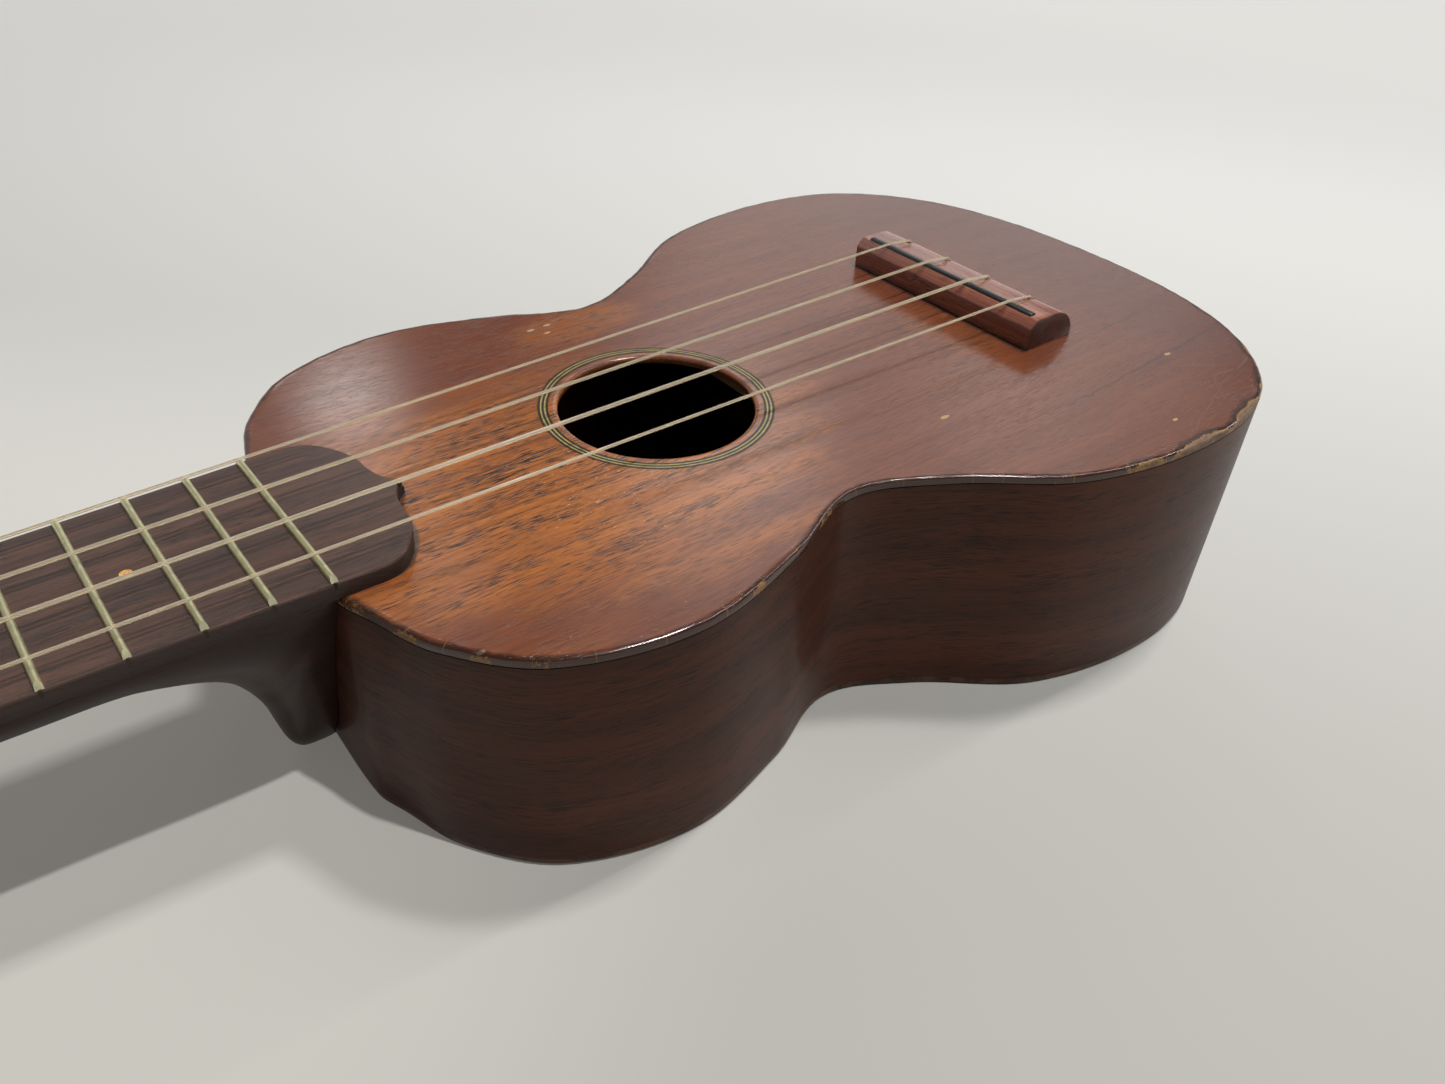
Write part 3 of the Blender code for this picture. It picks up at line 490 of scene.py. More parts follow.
def wood_grain_group():
    """Ribbons, streaks and pores that run along x of the flow, in millimetres."""
    given, out = new_group(
        "wood_grain", {"Pore Length": 4.0, "Pore Width": 0.3, "Pore Cover": 0.5, "Ribbon Width": 9.0},
        ("Tone", "Streaks", "Pores", "Height"),
    )
    x, y, z = put("SeparateXYZ", Vector=given["Flow"]).outputs
    bend = speckle(given["Flow"], (0.022, 0.05, 0.05), 2.0, 0.5)
    y = times(bend, 5.0, y)

    def scaled(along, side):
        parts = (maths("DIVIDE", part, length) for part, length in ((x, along), (y, side), (z, side)))
        return put("CombineXYZ", **dict(zip("XYZ", parts))).outputs[0]

    wander = times(given["Ribbon Width"], 16.0)
    tone = speckle(scaled(wander, given["Ribbon Width"]), 1.0, 3.0, 0.55, 0.3)
    streaks = speckle(scaled(34.0, 0.5), 1.0, 4.0, 0.65, 0.1)
    dashes = speckle(scaled(given["Pore Length"], given["Pore Width"]), 1.0, 2.0, 0.5, 0.15)
    crowd = speckle(scaled(30.0, 4.0), 1.0, 3.0, 0.6)
    cover = times(given["Pore Cover"], -0.16, 0.66)
    low = times(maths("SUBTRACT", crowd, 0.5), -0.5, cover)
    pores = maths("DIVIDE", maths("SUBTRACT", dashes, low), 0.06, clamp=True)
    height = times(pores, -0.8, times(streaks, 0.5))
    for socket, result in zip(out, (tone, streaks, pores, height)):
        value(socket, result)
    return canvas


def edge_wear_group():
    """Where lacquer has worn off within reach of the rim, the dark band beside it, and cracks across it."""
    given, out = new_group(
        "edge_wear", {"Rim": 99.0, "Run": 0.0, "Reach": 1.0, "Ragged": 0.6}, ("Worn", "Border", "Halo", "Cracks")
    )
    coarse = speckle(given["Flow"], 0.16, 3.0, 0.65)
    fine = speckle(given["Flow"], 1.5, 4.0, 0.75)
    shift = maths("ADD", maths("SUBTRACT", coarse, 0.5), times(fine, 0.6, -0.3))
    reach = times(times(shift, given["Ragged"]), 6.0, given["Reach"])
    left = maths("SUBTRACT", reach, given["Rim"])
    value(out["Worn"], times(left, 3.0, clamp=True))
    value(out["Border"], times(left, -2.5, 1.9, clamp=True))
    bare = maths("MAXIMUM", given["Reach"], 0.0)
    band = maths("ADD", bare, times(coarse, 2.4, 0.4))
    value(out["Halo"], maths("SUBTRACT", band, given["Rim"], clamp=True))
    jitter = speckle(put("CombineXYZ", X=given["Run"]).outputs[0], 0.11, 2.0, 0.5)
    phase = times(fine, 0.05, times(given["Run"], 0.085, times(jitter, 2.0)))
    line = maths("ABSOLUTE", maths("SUBTRACT", maths("FRACT", phase), 0.5))
    crack = maths("LESS_THAN", line, 0.012)
    value(out["Cracks"], times(crack, maths("LESS_THAN", given["Rim"], 1.7)))
    return canvas


def handling_group():
    """Rubbed patches and the slow waves of an old finish."""
    given, out = new_group("handling", {}, ("Rubbed", "Waves"))
    value(out["Rubbed"], speckle(given["Flow"], 0.04, 4.0, 0.6))
    value(out["Waves"], speckle(given["Flow"], 0.02, 1.0, 0.4))
    return canvas


GRAIN, EDGE_WEAR, HANDLING = wood_grain_group(), edge_wear_group(), handling_group()


def shader(name, **fixed):
    """A material with one Principled shader and its fixed values."""
    made = bpy.data.materials.new(name)
    made.use_nodes = True
    main = draw_on(made.node_tree).nodes["Principled BSDF"]
    for label, given in fixed.items():
        main.inputs[label.replace("_", " ")].default_value = given
    return made, main.inputs


def attribute(name, kind="Fac"):
    return put("Attribute", {"attribute_name": name}).outputs[kind]


def finish(main, colour, rough, height=None, depth=0.0):
    """Gives a surface its colour, roughness and relief, whose depth is in metres."""
    value(main["Base Color"], colour)
    value(main["Roughness"], rough)
    if height is not None:
        value(main["Normal"], put("Bump", Height=height, Distance=depth).outputs[0])


def grain_of(flow, length, width, cover, ribbon):
    """The grain's outputs, with its pores' length, width and cover, and its ribbons' width."""
    return use(GRAIN, Flow=flow, Pore_Length=length, Pore_Width=width, Pore_Cover=cover, Ribbon_Width=ribbon)


def lacquered_wood(name, light, dark, pore, roughness=0.45, shine=0.1, gloss=0.5, gloss_roughness=0.2,
                   pores=(4.0, 0.3, 0.5), ribbon=9.0, edge=None, shaded=False):
    """Wood under lacquer, lighter and darker along its ribbons, with worn edges where it has a rim."""
    made, main = shader(name, Specular_IOR_Level=shine, Coat_Weight=gloss, Coat_Roughness=gloss_roughness)
    flow = attribute("flow", "Vector")
    grain = grain_of(flow, *pores, ribbon)
    hand = use(HANDLING, Flow=flow)
    tone = times(grain["Streaks"], 0.9, times(grain["Tone"], 1.3, -0.6))
    colour = mix(step(tone, 0.15, 0.85), dark, light)
    colour = painted(colour, pore, grain["Pores"], 0.75)
    rough = times(hand["Rubbed"], 0.16, roughness - 0.08)
    if edge:
        worn = use(EDGE_WEAR, Flow=flow, Rim=attribute("rim"), Reach=0.4, Ragged=0.6)
        colour = painted(colour, [0.45 * part for part in light], worn["Halo"], 0.55)
        colour = painted(colour, edge, worn["Worn"])
    # Where the dark attribute says, the pore colour is painted on: shade in the bridge's slots and on the fingerboard's
    # sides, and the bridge's darker ends; the gloss thins there too
    if shaded:
        painted_shade = attribute("dark")
        colour = painted(colour, pore, painted_shade)
        value(main["Coat Weight"], times(painted_shade, -gloss, gloss))
    finish(main, colour, rough, times(hand["Waves"], 0.5, grain["Height"]), 0.00004)
    return made


def nearest(sizes):
    """The least of several distances."""
    least, *others = sizes
    for other in others:
        least = maths("MINIMUM", least, other)
    return least


def near(flow, marks):
    """Distance to the nearest of the marks, given as two ends and a half width, in half widths."""
    sizes = []
    for (x0, y0), (x1, y1), half in marks:
        run = Vector((x1 - x0, y1 - y0, 0))
        away = vectors("SUBTRACT", flow, (x0, y0, 0))
        along = vectors("DOT_PRODUCT", away, run / run.length_squared)
        foot = vectors("SCALE", run, Scale=maths("ADD", along, 0.0, clamp=True))
        sizes.append(maths("DIVIDE", vectors("DISTANCE", away, foot), half))
    return nearest(sizes)


def spots(flow, places):
    """Distance to the nearest of the places, given as x, y and half width, in half widths, twice as far along x."""
    long = stretched(flow, (0.5, 1, 1))
    gaps = [(vectors("DISTANCE", long, (x / 2, y, 0)), half) for x, y, half in places]
    return nearest([maths("DIVIDE", gap, half) for gap, half in gaps])


def board_dirt_and_shade(flow):
    """The line of grime and painted contact shade round the fingerboard's end and along the bridge's front foot."""
    x, y, _ = put("SeparateXYZ", Vector=flow).outputs
    aside = maths("ABSOLUTE", y)
    span = 24.0  # of the curve that gives the end's x for each distance from the middle
    curve = put("FloatCurve", Value=maths("DIVIDE", aside, span))
    line = curve.mapping.curves[0].points
    first, *middle, last = [(half / span, end / span) for end, half in reversed(BOARD_END)] + [(1, 0.2)]
    line[0].location, line[1].location = first, last
    for place in middle:
        line.new(*place)
    curve.mapping.update()
    sizes = []
    for foot, side, fade in ((times(curve.outputs[0], span), 22.3, 0.5), (BRIDGE_FRONT, BRIDGE_HALF, 1.0)):
        away = maths("ABSOLUTE", maths("SUBTRACT", x, foot))
        sizes.append(maths("ADD", away, step(aside, side, side + fade, 9.0)))
    return nearest(sizes)


def patch(flow, middle, reach, edge=0.5):
    """1 in an oval patch round a place, 0 outside, with a cloudy edge."""
    moved = vectors("SUBTRACT", flow, (*middle, 0))
    size = vectors("LENGTH", stretched(moved, (1 / reach[0], 1 / reach[1], 0)))
    cloud = speckle(flow, (0.03, 0.09, 0.09), 4.0, 0.6)
    far = maths("ADD", size, times(cloud, 1.6, -0.8))
    return step(far, 1 + edge, 1 - edge)


def worn_top_wood(name, gloss_roughness):
    """The soundboard's mahogany: orange where picks and fingers have thinned the lacquer, dark red-brown elsewhere."""
    made, main = shader(name, Specular_IOR_Level=0.5, Coat_Weight=0.4, Coat_Roughness=gloss_roughness)
    flow = attribute("flow", "Vector")
    grain = grain_of(flow, 4.2, 0.24, 0.78, 8.0)
    hand = use(HANDLING, Flow=flow)
    thin = patch(flow, (48, -11), (52, 36))
    for middle, reach, amount in (((90, 43), (16, 8), 0.5), ((164, -14), (7, 22), 0.2)):
        thin = maths("MAXIMUM", thin, times(patch(flow, middle, reach, 0.3), amount))
    tone = step(maths("ADD", grain["Streaks"], times(grain["Tone"], 0.6, -0.3)), 0.1, 0.9)
    aged = mix(tone, (0.12, 0.032, 0.015), (0.2, 0.057, 0.024))
    tail = step(put("SeparateXYZ", Vector=flow).outputs["X"], 175, 225)
    aged = painted(aged, (0.1, 0.026, 0.017), tail, 0.6)
    clear = mix(tone, (0.23, 0.058, 0.01), (0.5, 0.16, 0.024))
    colour = mix(thin, aged, clear)
    lines = speckle(flow, (0.02, 0.75, 0), 2.0, 0.5, 0.2)
    lined = times(step(lines, 0.42, 0.36, 0.75), patch(flow, (42, 4), (26, 15), 0.4))
    streak = maths("MAXIMUM", times(step(grain["Streaks"], 0.4, 0.3), 0.35), lined)
    colour = painted(colour, (0.05, 0.014, 0.008), streak, 0.7)
    depth = times(thin, 0.7, 0.25)
    colour = painted(colour, (0.035, 0.011, 0.007), grain["Pores"], depth)
    flecks = speckle(flow, (0.55, 2.2, 1.0), 2.0, 0.6)
    picked = times(step(flecks, 0.66, 0.7), patch(flow, (56, -20), (17, 17), 0.3))
    colour = painted(colour, (0.55, 0.36, 0.14), picked)
    ragged = times(speckle(flow, 1.3, 3.0, 0.7), 2.6, -1.3)
    # Grime and painted contact shade, dark to dusty grey, round the fingerboard's end and along the bridge's front foot
    dirt_and_shade = step(times(ragged, 0.25, board_dirt_and_shade(flow)), 1.3, 0.5)
    dust_and_shade = mix(speckle(flow, 2.0, 2.0, 0.6), (0.015, 0.009, 0.007), (0.09, 0.062, 0.042))
    colour = painted(colour, dust_and_shade, dirt_and_shade, 0.85)
    bend = put("TexNoise", Vector=flow, Scale=0.16, Detail=2.0).outputs["Color"]
    wavy = vectors("SUBTRACT", vectors("MULTIPLY_ADD", bend, (2.4, 2.4, 0), flow), (1.2, 1.2, 0))
    seam = step(times(ragged, 0.6, near(wavy, SEAM)), 1.3, 0.5)
    colour = painted(colour, (0.05, 0.018, 0.012), seam, 0.7)
    scratch = step(times(ragged, 0.9, near(wavy, SCRATCHES)), 1.1, 0.5)
    colour = painted(colour, (0.33, 0.17, 0.1), scratch, 0.15)
    nick = step(maths("ADD", spots(flow, NICKS), times(ragged, 0.5)), 1.1, 0.8)
    colour = painted(colour, (0.45, 0.28, 0.13), nick)
    rim, run, wear = (attribute(name) for name in ("rim", "run", "wear"))
    worn = use(EDGE_WEAR, Flow=flow, Rim=rim, Run=run, Reach=wear, Ragged=0.55)
    colour = painted(colour, (0.035, 0.011, 0.005), worn["Halo"], 0.92)
    fibres = speckle(flow, (0.5, 3.0, 1.0), 3.0, 0.7)
    bare = mix(step(fibres, 0.3, 0.7), (0.055, 0.027, 0.013), (0.2, 0.115, 0.062))
    bare = painted(bare, (0.33, 0.17, 0.04), worn["Border"], 0.8)
    colour = painted(colour, bare, maths("MAXIMUM", worn["Worn"], times(worn["Cracks"], 0.4)))
    lost = maths("MAXIMUM", maths("MAXIMUM", worn["Worn"], nick), picked)
    rough = times(hand["Rubbed"], 0.12, times(thin, 0.03, 0.1))
    value(main["Coat Weight"], times(lost, -0.4, 0.4))
    height = times(hand["Waves"], 0.8, times(grain["Height"], times(thin, 0.7, 0.3)))
    finish(main, colour, times(lost, 0.35, rough), height, 0.00005)
    return made


def plain_metal(name, colour, roughness, tarnish):
    """Plated or drawn metal with dull patches and fine scratches."""
    made, main = shader(name, Metallic=1.0)
    flow = attribute("flow", "Vector")
    dull = step(speckle(flow, 0.5, 4.0, 0.6), 0.4, 0.7)
    scratches = speckle(flow, (6.0, 0.4, 6.0), 2.0, 0.6)
    rough = times(dull, 0.18, roughness)
    finish(main, painted(colour, tarnish, dull, 0.6), rough, scratches, 0.00001)
    return made


def plain_stuff(name, light, dark, roughness, scale, **fixed):
    """Plastic, pearl or bone with clouds between two colours."""
    made, main = shader(name, **fixed)
    flow = attribute("flow", "Vector")
    cloud = speckle(flow, scale, 4.0, 0.6, 1.0)
    finish(main, mix(step(cloud, 0.3, 0.7), dark, light), times(cloud, 0.15, roughness))
    return made


def bare_wood(name, light, dark):
    """Unfinished wood inside the body, with its grain in the object's own coordinates."""
    made, main = shader(name)
    place = put("TexCoord").outputs["Object"]
    flow = stretched(place, (1000, 1000, 1000))
    grain = grain_of(flow, 5.0, 0.4, 0.3, 5.0)
    colour = mix(step(grain["Streaks"], 0.3, 0.7), dark, light)
    finish(main, colour, times(grain["Tone"], 0.2, 0.65), grain["Height"], 0.0001)
    return made


TOP_WOOD = [worn_top_wood("soundboard_mahogany", 0.15), worn_top_wood("soundboard_edge_lacquer", 0.08)]
SIDE_WOOD = lacquered_wood(
    "body_mahogany", (0.088, 0.025, 0.01), (0.046, 0.013, 0.006), (0.013, 0.005, 0.004), pores=(6.0, 0.26, 0.66),
    gloss=0.2, gloss_roughness=0.22,
)
BACK_WOOD = lacquered_wood(
    "back_mahogany", (0.07, 0.025, 0.013), (0.036, 0.013, 0.008), (0.014, 0.006, 0.005), edge=(0.1, 0.045, 0.02),
    pores=(7.0, 0.35, 0.5), gloss=0.25, gloss_roughness=0.3,
)
NECK_WOOD = lacquered_wood(
    "neck_mahogany", (0.042, 0.018, 0.012), (0.024, 0.011, 0.008), (0.01, 0.006, 0.005), pores=(8.0, 0.25, 0.3),
    gloss=0.3, gloss_roughness=0.25,
)
BRIDGE_WOOD = lacquered_wood(
    "bridge_mahogany", (0.37, 0.13, 0.082), (0.2, 0.066, 0.045), (0.03, 0.01, 0.007), roughness=0.25, shine=0.4,
    pores=(5.0, 0.2, 0.4), ribbon=4.0, gloss=0.6, gloss_roughness=0.08, shaded=True,
)
ROSEWOOD = lacquered_wood(
    "fingerboard_rosewood", (0.11, 0.05, 0.032), (0.045, 0.024, 0.019), (0.014, 0.008, 0.007), roughness=0.5,
    shine=0.35, gloss=0.45, gloss_roughness=0.25, pores=(5.0, 0.2, 0.6), ribbon=3.0, shaded=True,
)
EBONY = lacquered_wood(
    "ebony", (0.012, 0.015, 0.013), (0.006, 0.008, 0.007), (0.003, 0.003, 0.003), roughness=0.35, shine=0.4, gloss=0.3
)
RING_DARK = plain_stuff(
    "rosette_dark", (0.05, 0.03, 0.016), (0.02, 0.013, 0.009), 0.4, (1, 1, 1), Coat_Weight=0.3, Specular_IOR_Level=0.2
)
RING_CREAM = plain_stuff(
    "rosette_cream", (0.42, 0.34, 0.13), (0.25, 0.2, 0.07), 0.4, (1, 1, 1), Coat_Weight=0.3, Specular_IOR_Level=0.2
)
FRET_METAL = plain_metal("fret_nickel_silver", (0.8, 0.77, 0.5), 0.4, (0.6, 0.57, 0.33))
TANG_METAL = plain_metal("fret_tang", (0.07, 0.06, 0.04), 0.6, (0.03, 0.025, 0.02))
TUNER_METAL = plain_metal("tuner_nickel", (0.66, 0.63, 0.56), 0.2, (0.4, 0.36, 0.28))
IVOROID = plain_stuff("button_ivoroid", (0.8, 0.71, 0.52), (0.66, 0.54, 0.34), 0.28, (0.15, 0.15, 0.6), Coat_Weight=0.4)
# The dot's orange-gold is a painted warm reflection on the pearl
PEARL = plain_stuff("dot_pearl", (0.85, 0.47, 0.13), (0.6, 0.26, 0.06), 0.2, (0.8, 0.8, 0.8), Coat_Weight=0.6)
NYLON = plain_stuff(
    "string_nylon", (0.93, 0.84, 0.66), (0.86, 0.74, 0.52), 0.06, (0.1, 3, 3), Transmission_Weight=0.7, IOR=1.5
)
INNER_WOOD = bare_wood("inner_mahogany", (0.12, 0.06, 0.03), (0.07, 0.035, 0.018))
SPRUCE = bare_wood("brace_spruce", (0.42, 0.27, 0.13), (0.3, 0.18, 0.08))


# Body


def make_soundboard():
    outline = whole(body_line())
    hole_edge = ((24, 0), (22.6, 0), (22.2, -0.03), (21.85, -0.16), (21.66, -0.38), (HOLE_R, -0.7), (HOLE_R, -1.5),
                 (21.8, -1.85), (22.6, -1.9))
    bm = turned(hole_edge, ROUND_STEPS, False, HOLE_X)
    upper = [e for e in bm.edges if e.is_boundary and e.verts[0].co.z > -1]
    lower = [e for e in bm.edges if e.is_boundary and e.verts[0].co.z < -1]
    edge = ((6, -1.9), (0.25, -1.9), (0, -1.65), (0, -0.9), (0.05, -0.55), (0.2, -0.26), (0.45, -0.09), (0.85, 0))
    steps = edge + ((1.4, 0), (2.2, 0), (3.4, 0), (5.0, 0), (8.0, 0))
    rings = [ring(bm, [(*p, z) for p in inset(outline, inward)]) for inward, z in steps]
    skin(bm, rings)
    bmesh.ops.triangle_fill(bm, use_beauty=True, edges=rings[-1] + upper)
    bmesh.ops.triangle_fill(bm, use_beauty=True, edges=rings[0] + lower)
    measure_rim(bm, outline, WEAR)
    rim = bm.verts.layers.float["rim"]
    reach, height, close = EDGE_WAVES
    noise.seed_set(EDGE_SEED)
    for vert in bm.verts:
        if vert[rim] < reach:
            vert.co += height * noise.noise_vector(vert.co * close) * (vert.co.z > -1.5)
    for face in bm.faces:
        face.material_index = int(max(vert[rim] for vert in face.verts) < EDGE_LACQUER)
    piece("soundboard", bm, TOP, TOP_WOOD)


def make_rosette():
    lift = 0.03
    profile = [(RINGS[0], -0.8)] + [(r, lift) for r in RINGS] + [(RINGS[-1], -0.8)]
    bm = turned(profile, ROUND_STEPS)
    for face in bm.faces:
        far = face.calc_center_median().to_2d().length
        face.material_index = int(RINGS[1] < far < RINGS[2] or RINGS[3] < far < RINGS[4])
    piece("rosette", bm, TOP @ Matrix.Translation((HOLE_X, 0, 0)), [RING_DARK, RING_CREAM])


def make_sides():
    line = body_line()
    for name, side in (("side_treble", 1), ("side_bass", -1)):
        bm = bmesh.new()
        flow = bm.verts.layers.float_vector.new("flow")
        run = 0.0
        row = []
        for i, point in enumerate(line):
            run += (point - line[max(i - 1, 0)]).length
            vert = bm.verts.new((point.x, side * max(point.y, 0.1), 0))
            vert[flow] = (run, 0, 0)
            row.append(vert)
        edges = [bm.edges.new(pair) for pair in zip(row, row[1:])]
        for vert in row:
            vert.co.z = back_top(vert.co.x)
        for level in range(1, SIDE_ROWS + 1):
            made = bmesh.ops.extrude_edge_only(bm, edges=edges)
            edges = only(bmesh.types.BMEdge, made)
            for vert in only(bmesh.types.BMVert, made):
                low = back_top(vert.co.x)
                vert.co.z = low + (-TOP_THICK - low) * level / SIDE_ROWS
        for vert in bm.verts:
            vert[flow] = (vert[flow].x, vert.co.z, 0)
        bmesh.ops.recalc_face_normals(bm, faces=bm.faces)
        # All faces decide which way is out, because their order differs from run to run
        if sum(face.normal.y for face in bm.faces) * side < 0:
            bmesh.ops.reverse_faces(bm, faces=bm.faces)
        bmesh.ops.solidify(bm, geom=bm.faces[:], thickness=SIDE_THICK)
        piece(name, bm, TOP, SIDE_WOOD)


def make_back():
    outline = whole(body_line())

    def level(inward, up):
        shift = math.sin(LEAN) * DEPTH - DEPTH_GAIN * up
        return [(p.x / math.cos(LEAN) + shift, p.y, up) for p in inset(outline, inward)]

    steps = ((5, 2), (0, 2), (0, 1.0), (0.12, 0.55), (0.4, 0.22), (0.8, 0.05), (1.3, 0), (2.4, 0), (5, 0), (9, 0))
    bm = loft([level(*step) for step in steps])
    measure_rim(bm, [Vector(p[:2]) for p in level(0, 0)])
    piece("back_plate", bm, BACK, BACK_WOOD)


# Bridge


def make_bridge():
    reach = BRIDGE_BACK - BRIDGE_FLAT_END
    profile = [
        (BRIDGE_BACK, 0), (BRIDGE_FRONT, 0), (BRIDGE_FRONT, BRIDGE_TOP - BRIDGE_BEVEL),
        (BRIDGE_FRONT + BRIDGE_BEVEL, BRIDGE_TOP),
    ]
    for i in range(14):
        turn = i * math.pi / 28
        profile.append((BRIDGE_FLAT_END + reach * math.sin(turn), BRIDGE_TOP * math.cos(turn)))
    bm = ease(across(profile, BRIDGE_HALF), 0.3, 35)
    back = SADDLE_FRONT + SADDLE_THICK
    low, high = BRIDGE_TOP - SADDLE_DEEP, BRIDGE_TOP + 4.4
    cuts = block((SADDLE_FRONT - 0.05, -SADDLE_HALF - 0.1, low), (back + 0.05, SADDLE_HALF + 0.1, high))
    for i, (_, diameter, _, _) in enumerate(STRINGS):
        y, half = (i - 1.5) * SADDLE_SPACING, diameter / 2 + 0.3
        block((SLOT_START, y - half, SLOT_FLOOR), (BRIDGE_BACK + 3, y + half, high), cuts)
    bm = carved(bm, cuts)
    # The bridge is painted darker at its ends, and painted shade darkens its string slots
    dark = bm.verts.layers.float.new("dark")
    for vert in bm.verts:
        end = limited((abs(vert.co.y) - BRIDGE_HALF + 0.25) / 0.25)
        vert[dark] = max(0.8 * end, 0.9 * (SLOT_START - 0.01 < vert.co.x < BRIDGE_BACK - 0.5 and vert.co.z < 4))
    piece("bridge", bm, TOP, BRIDGE_WOOD, aside=True)
    crown = BRIDGE_TOP + SADDLE_PROUD
    blade = [(back, low), (SADDLE_FRONT, low)]
    for turn in range(8):
        at = math.pi * (1 - turn / 7)
        blade.append((SADDLE_FRONT + 1.1 + 1.1 * math.cos(at), crown - 0.55 + 0.55 * math.sin(at)))
    piece("saddle", ease(across(blade, SADDLE_HALF), 0.2, 60), TOP, EBONY, aside=True)


# Neck, fingerboard, frets and nut


def slice_of(rail_x, rail_z, low_x, low_z, half, taper, square):
    """One slice of the neck, flat from half to -half and rounded below."""
    rail, under = Vector((rail_x, 0, rail_z)), Vector((low_x, 0, low_z))
    points = []
    for i in range(NECK_STEPS + 1):
        turn = math.pi * i / NECK_STEPS
        down = max(0.0, math.sin(turn)) ** (2 / square)
        wide = math.copysign(abs(math.cos(turn)) ** (2 / square), math.cos(turn)) * (1 - taper * down)
        points.append(rail.lerp(under, down) + Vector((0, half * wide, 0)))
    return points


def make_neck():
    outline = smooth_line(HEAD_OUTLINE, 7, (1, 0.05), (0.35, -1)) + [Vector((HEAD_LONG, HEAD_TIP_HALF))]
    slices = []
    for p in reversed(outline):
        square = 2.4 + 5.6 * limited(p.x / 22)
        flat, under = HEAD_TILTED @ Vector((-p.x, 0, 0)), HEAD_TILTED @ Vector((-p.x, 0, -HEAD_THICK))
        slices.append(slice_of(flat.x, flat.z, under.x, under.z, p.y, 0, square))
    slices += [slice_of(*row) for row in filled_in(NECK, 5)]
    bm = ease(loft(slices), 0.35, 60)
    piece("neck", bm, TOP, NECK_WOOD)


def make_fingerboard():
    end = smooth_line(BOARD_END, 7, (1, 0), (1, -0.7))
    half = [Vector((NUT_X, 0)), Vector((NUT_X, NUT_HALF))] + end
    rim = whole(half)
    soft = [(0, 0), (0, BOARD_TOP - 0.5), (0.12, BOARD_TOP - 0.2), (0.35, BOARD_TOP)]
    bm = loft([[(*p, up) for p in inset(rim, inward)] for inward, up in soft])
    chip = block((-1.7, -1.1, -1.6), (1.7, 1.1, 3))
    askew = Matrix.Rotation(0.5, 4, "Z") @ Matrix.Rotation(0.3, 4, "Y")
    chip.transform(Matrix.Translation((23.0, -0.9, BOARD_TOP)) @ askew)
    bm = carved(bm, chip)
    # Painted shade on the board's sides and end, fullest over the body
    dark = bm.verts.layers.float.new("dark")
    for vert in bm.verts:
        over_body, below_top = limited((vert.co.x - 3) / 8), limited((BOARD_TOP - 0.1 - vert.co.z) / 0.5)
        vert[dark] = (0.8 + 0.2 * over_body) * below_top
    piece("fingerboard", bm, TOP, ROSEWOOD)
    for number in MARKER_FRETS:
        bm = turned([(0, 0.03), (0.8, 0.03), (MARKER_R, 0), (MARKER_R, -MARKER_DEEP), (0, -MARKER_DEEP)], 24)
        at = Matrix.Translation(((fret_x(number - 1) + fret_x(number)) / 2, 0, BOARD_TOP))
        piece(f"marker_fret_{number}", bm, TOP @ at, PEARL)


def make_frets():
    half, tang = FRET_WIDE / 2, TANG_WIDE / 2
    for number in range(1, 13):
        x = fret_x(number)
        arc = [math.pi * i / 10 for i in range(11)]
        crown = [(x + half * math.cos(t), FRET_TOP - FRET_CROWN * (1 - math.sin(t))) for t in arc]
        bm = across([(x - half, BOARD_TOP), (x + half, BOARD_TOP)] + crown, board_half(x) - 0.3)
        for vert in bm.verts:
            rise = limited((vert.co.z - FRET_BEVEL_FROM) / (FRET_TOP - FRET_BEVEL_FROM))
            vert.co.y -= math.copysign(FRET_BEVEL * rise, vert.co.y)
        crowned = len(bm.faces)
        side = board_half(x) + 0.02
        block((x - tang, -side, BOARD_TOP - TANG_DEEP), (x + tang, side, BOARD_TOP + 0.1), bm)
        bm.faces.ensure_lookup_table()
        for face in bm.faces[crowned:]:
            face.material_index = 1
        piece(f"fret_{number:02d}", bm, TOP, [FRET_METAL, TANG_METAL])


def make_nut():
    back = NUT_X - NUT_THICK
    profile = [(NUT_X - 0.05, 0), (NUT_X - 0.05, NUT_TOP)]
    profile += [(back + 1.4, NUT_TOP - 0.35), (back + 0.5, NUT_TOP - 0.8), (back, NUT_TOP - 1.6), (back, 0)]
    bm = ease(across(profile, NUT_HALF), 0.3, 40)
    cuts = bmesh.new()
    for i, (_, diameter, _, _) in enumerate(STRINGS):
        y, half = (i - 1.5) * NUT_SPACING, diameter / 2 + 0.15
        block((back - 3, y - half, STRING_AT_NUT - 0.4 - half), (NUT_X + 3, y + half, NUT_TOP + 3), cuts)
    piece("nut", carved(bm, cuts), TOP, EBONY, aside=True)


# Tuners and strings


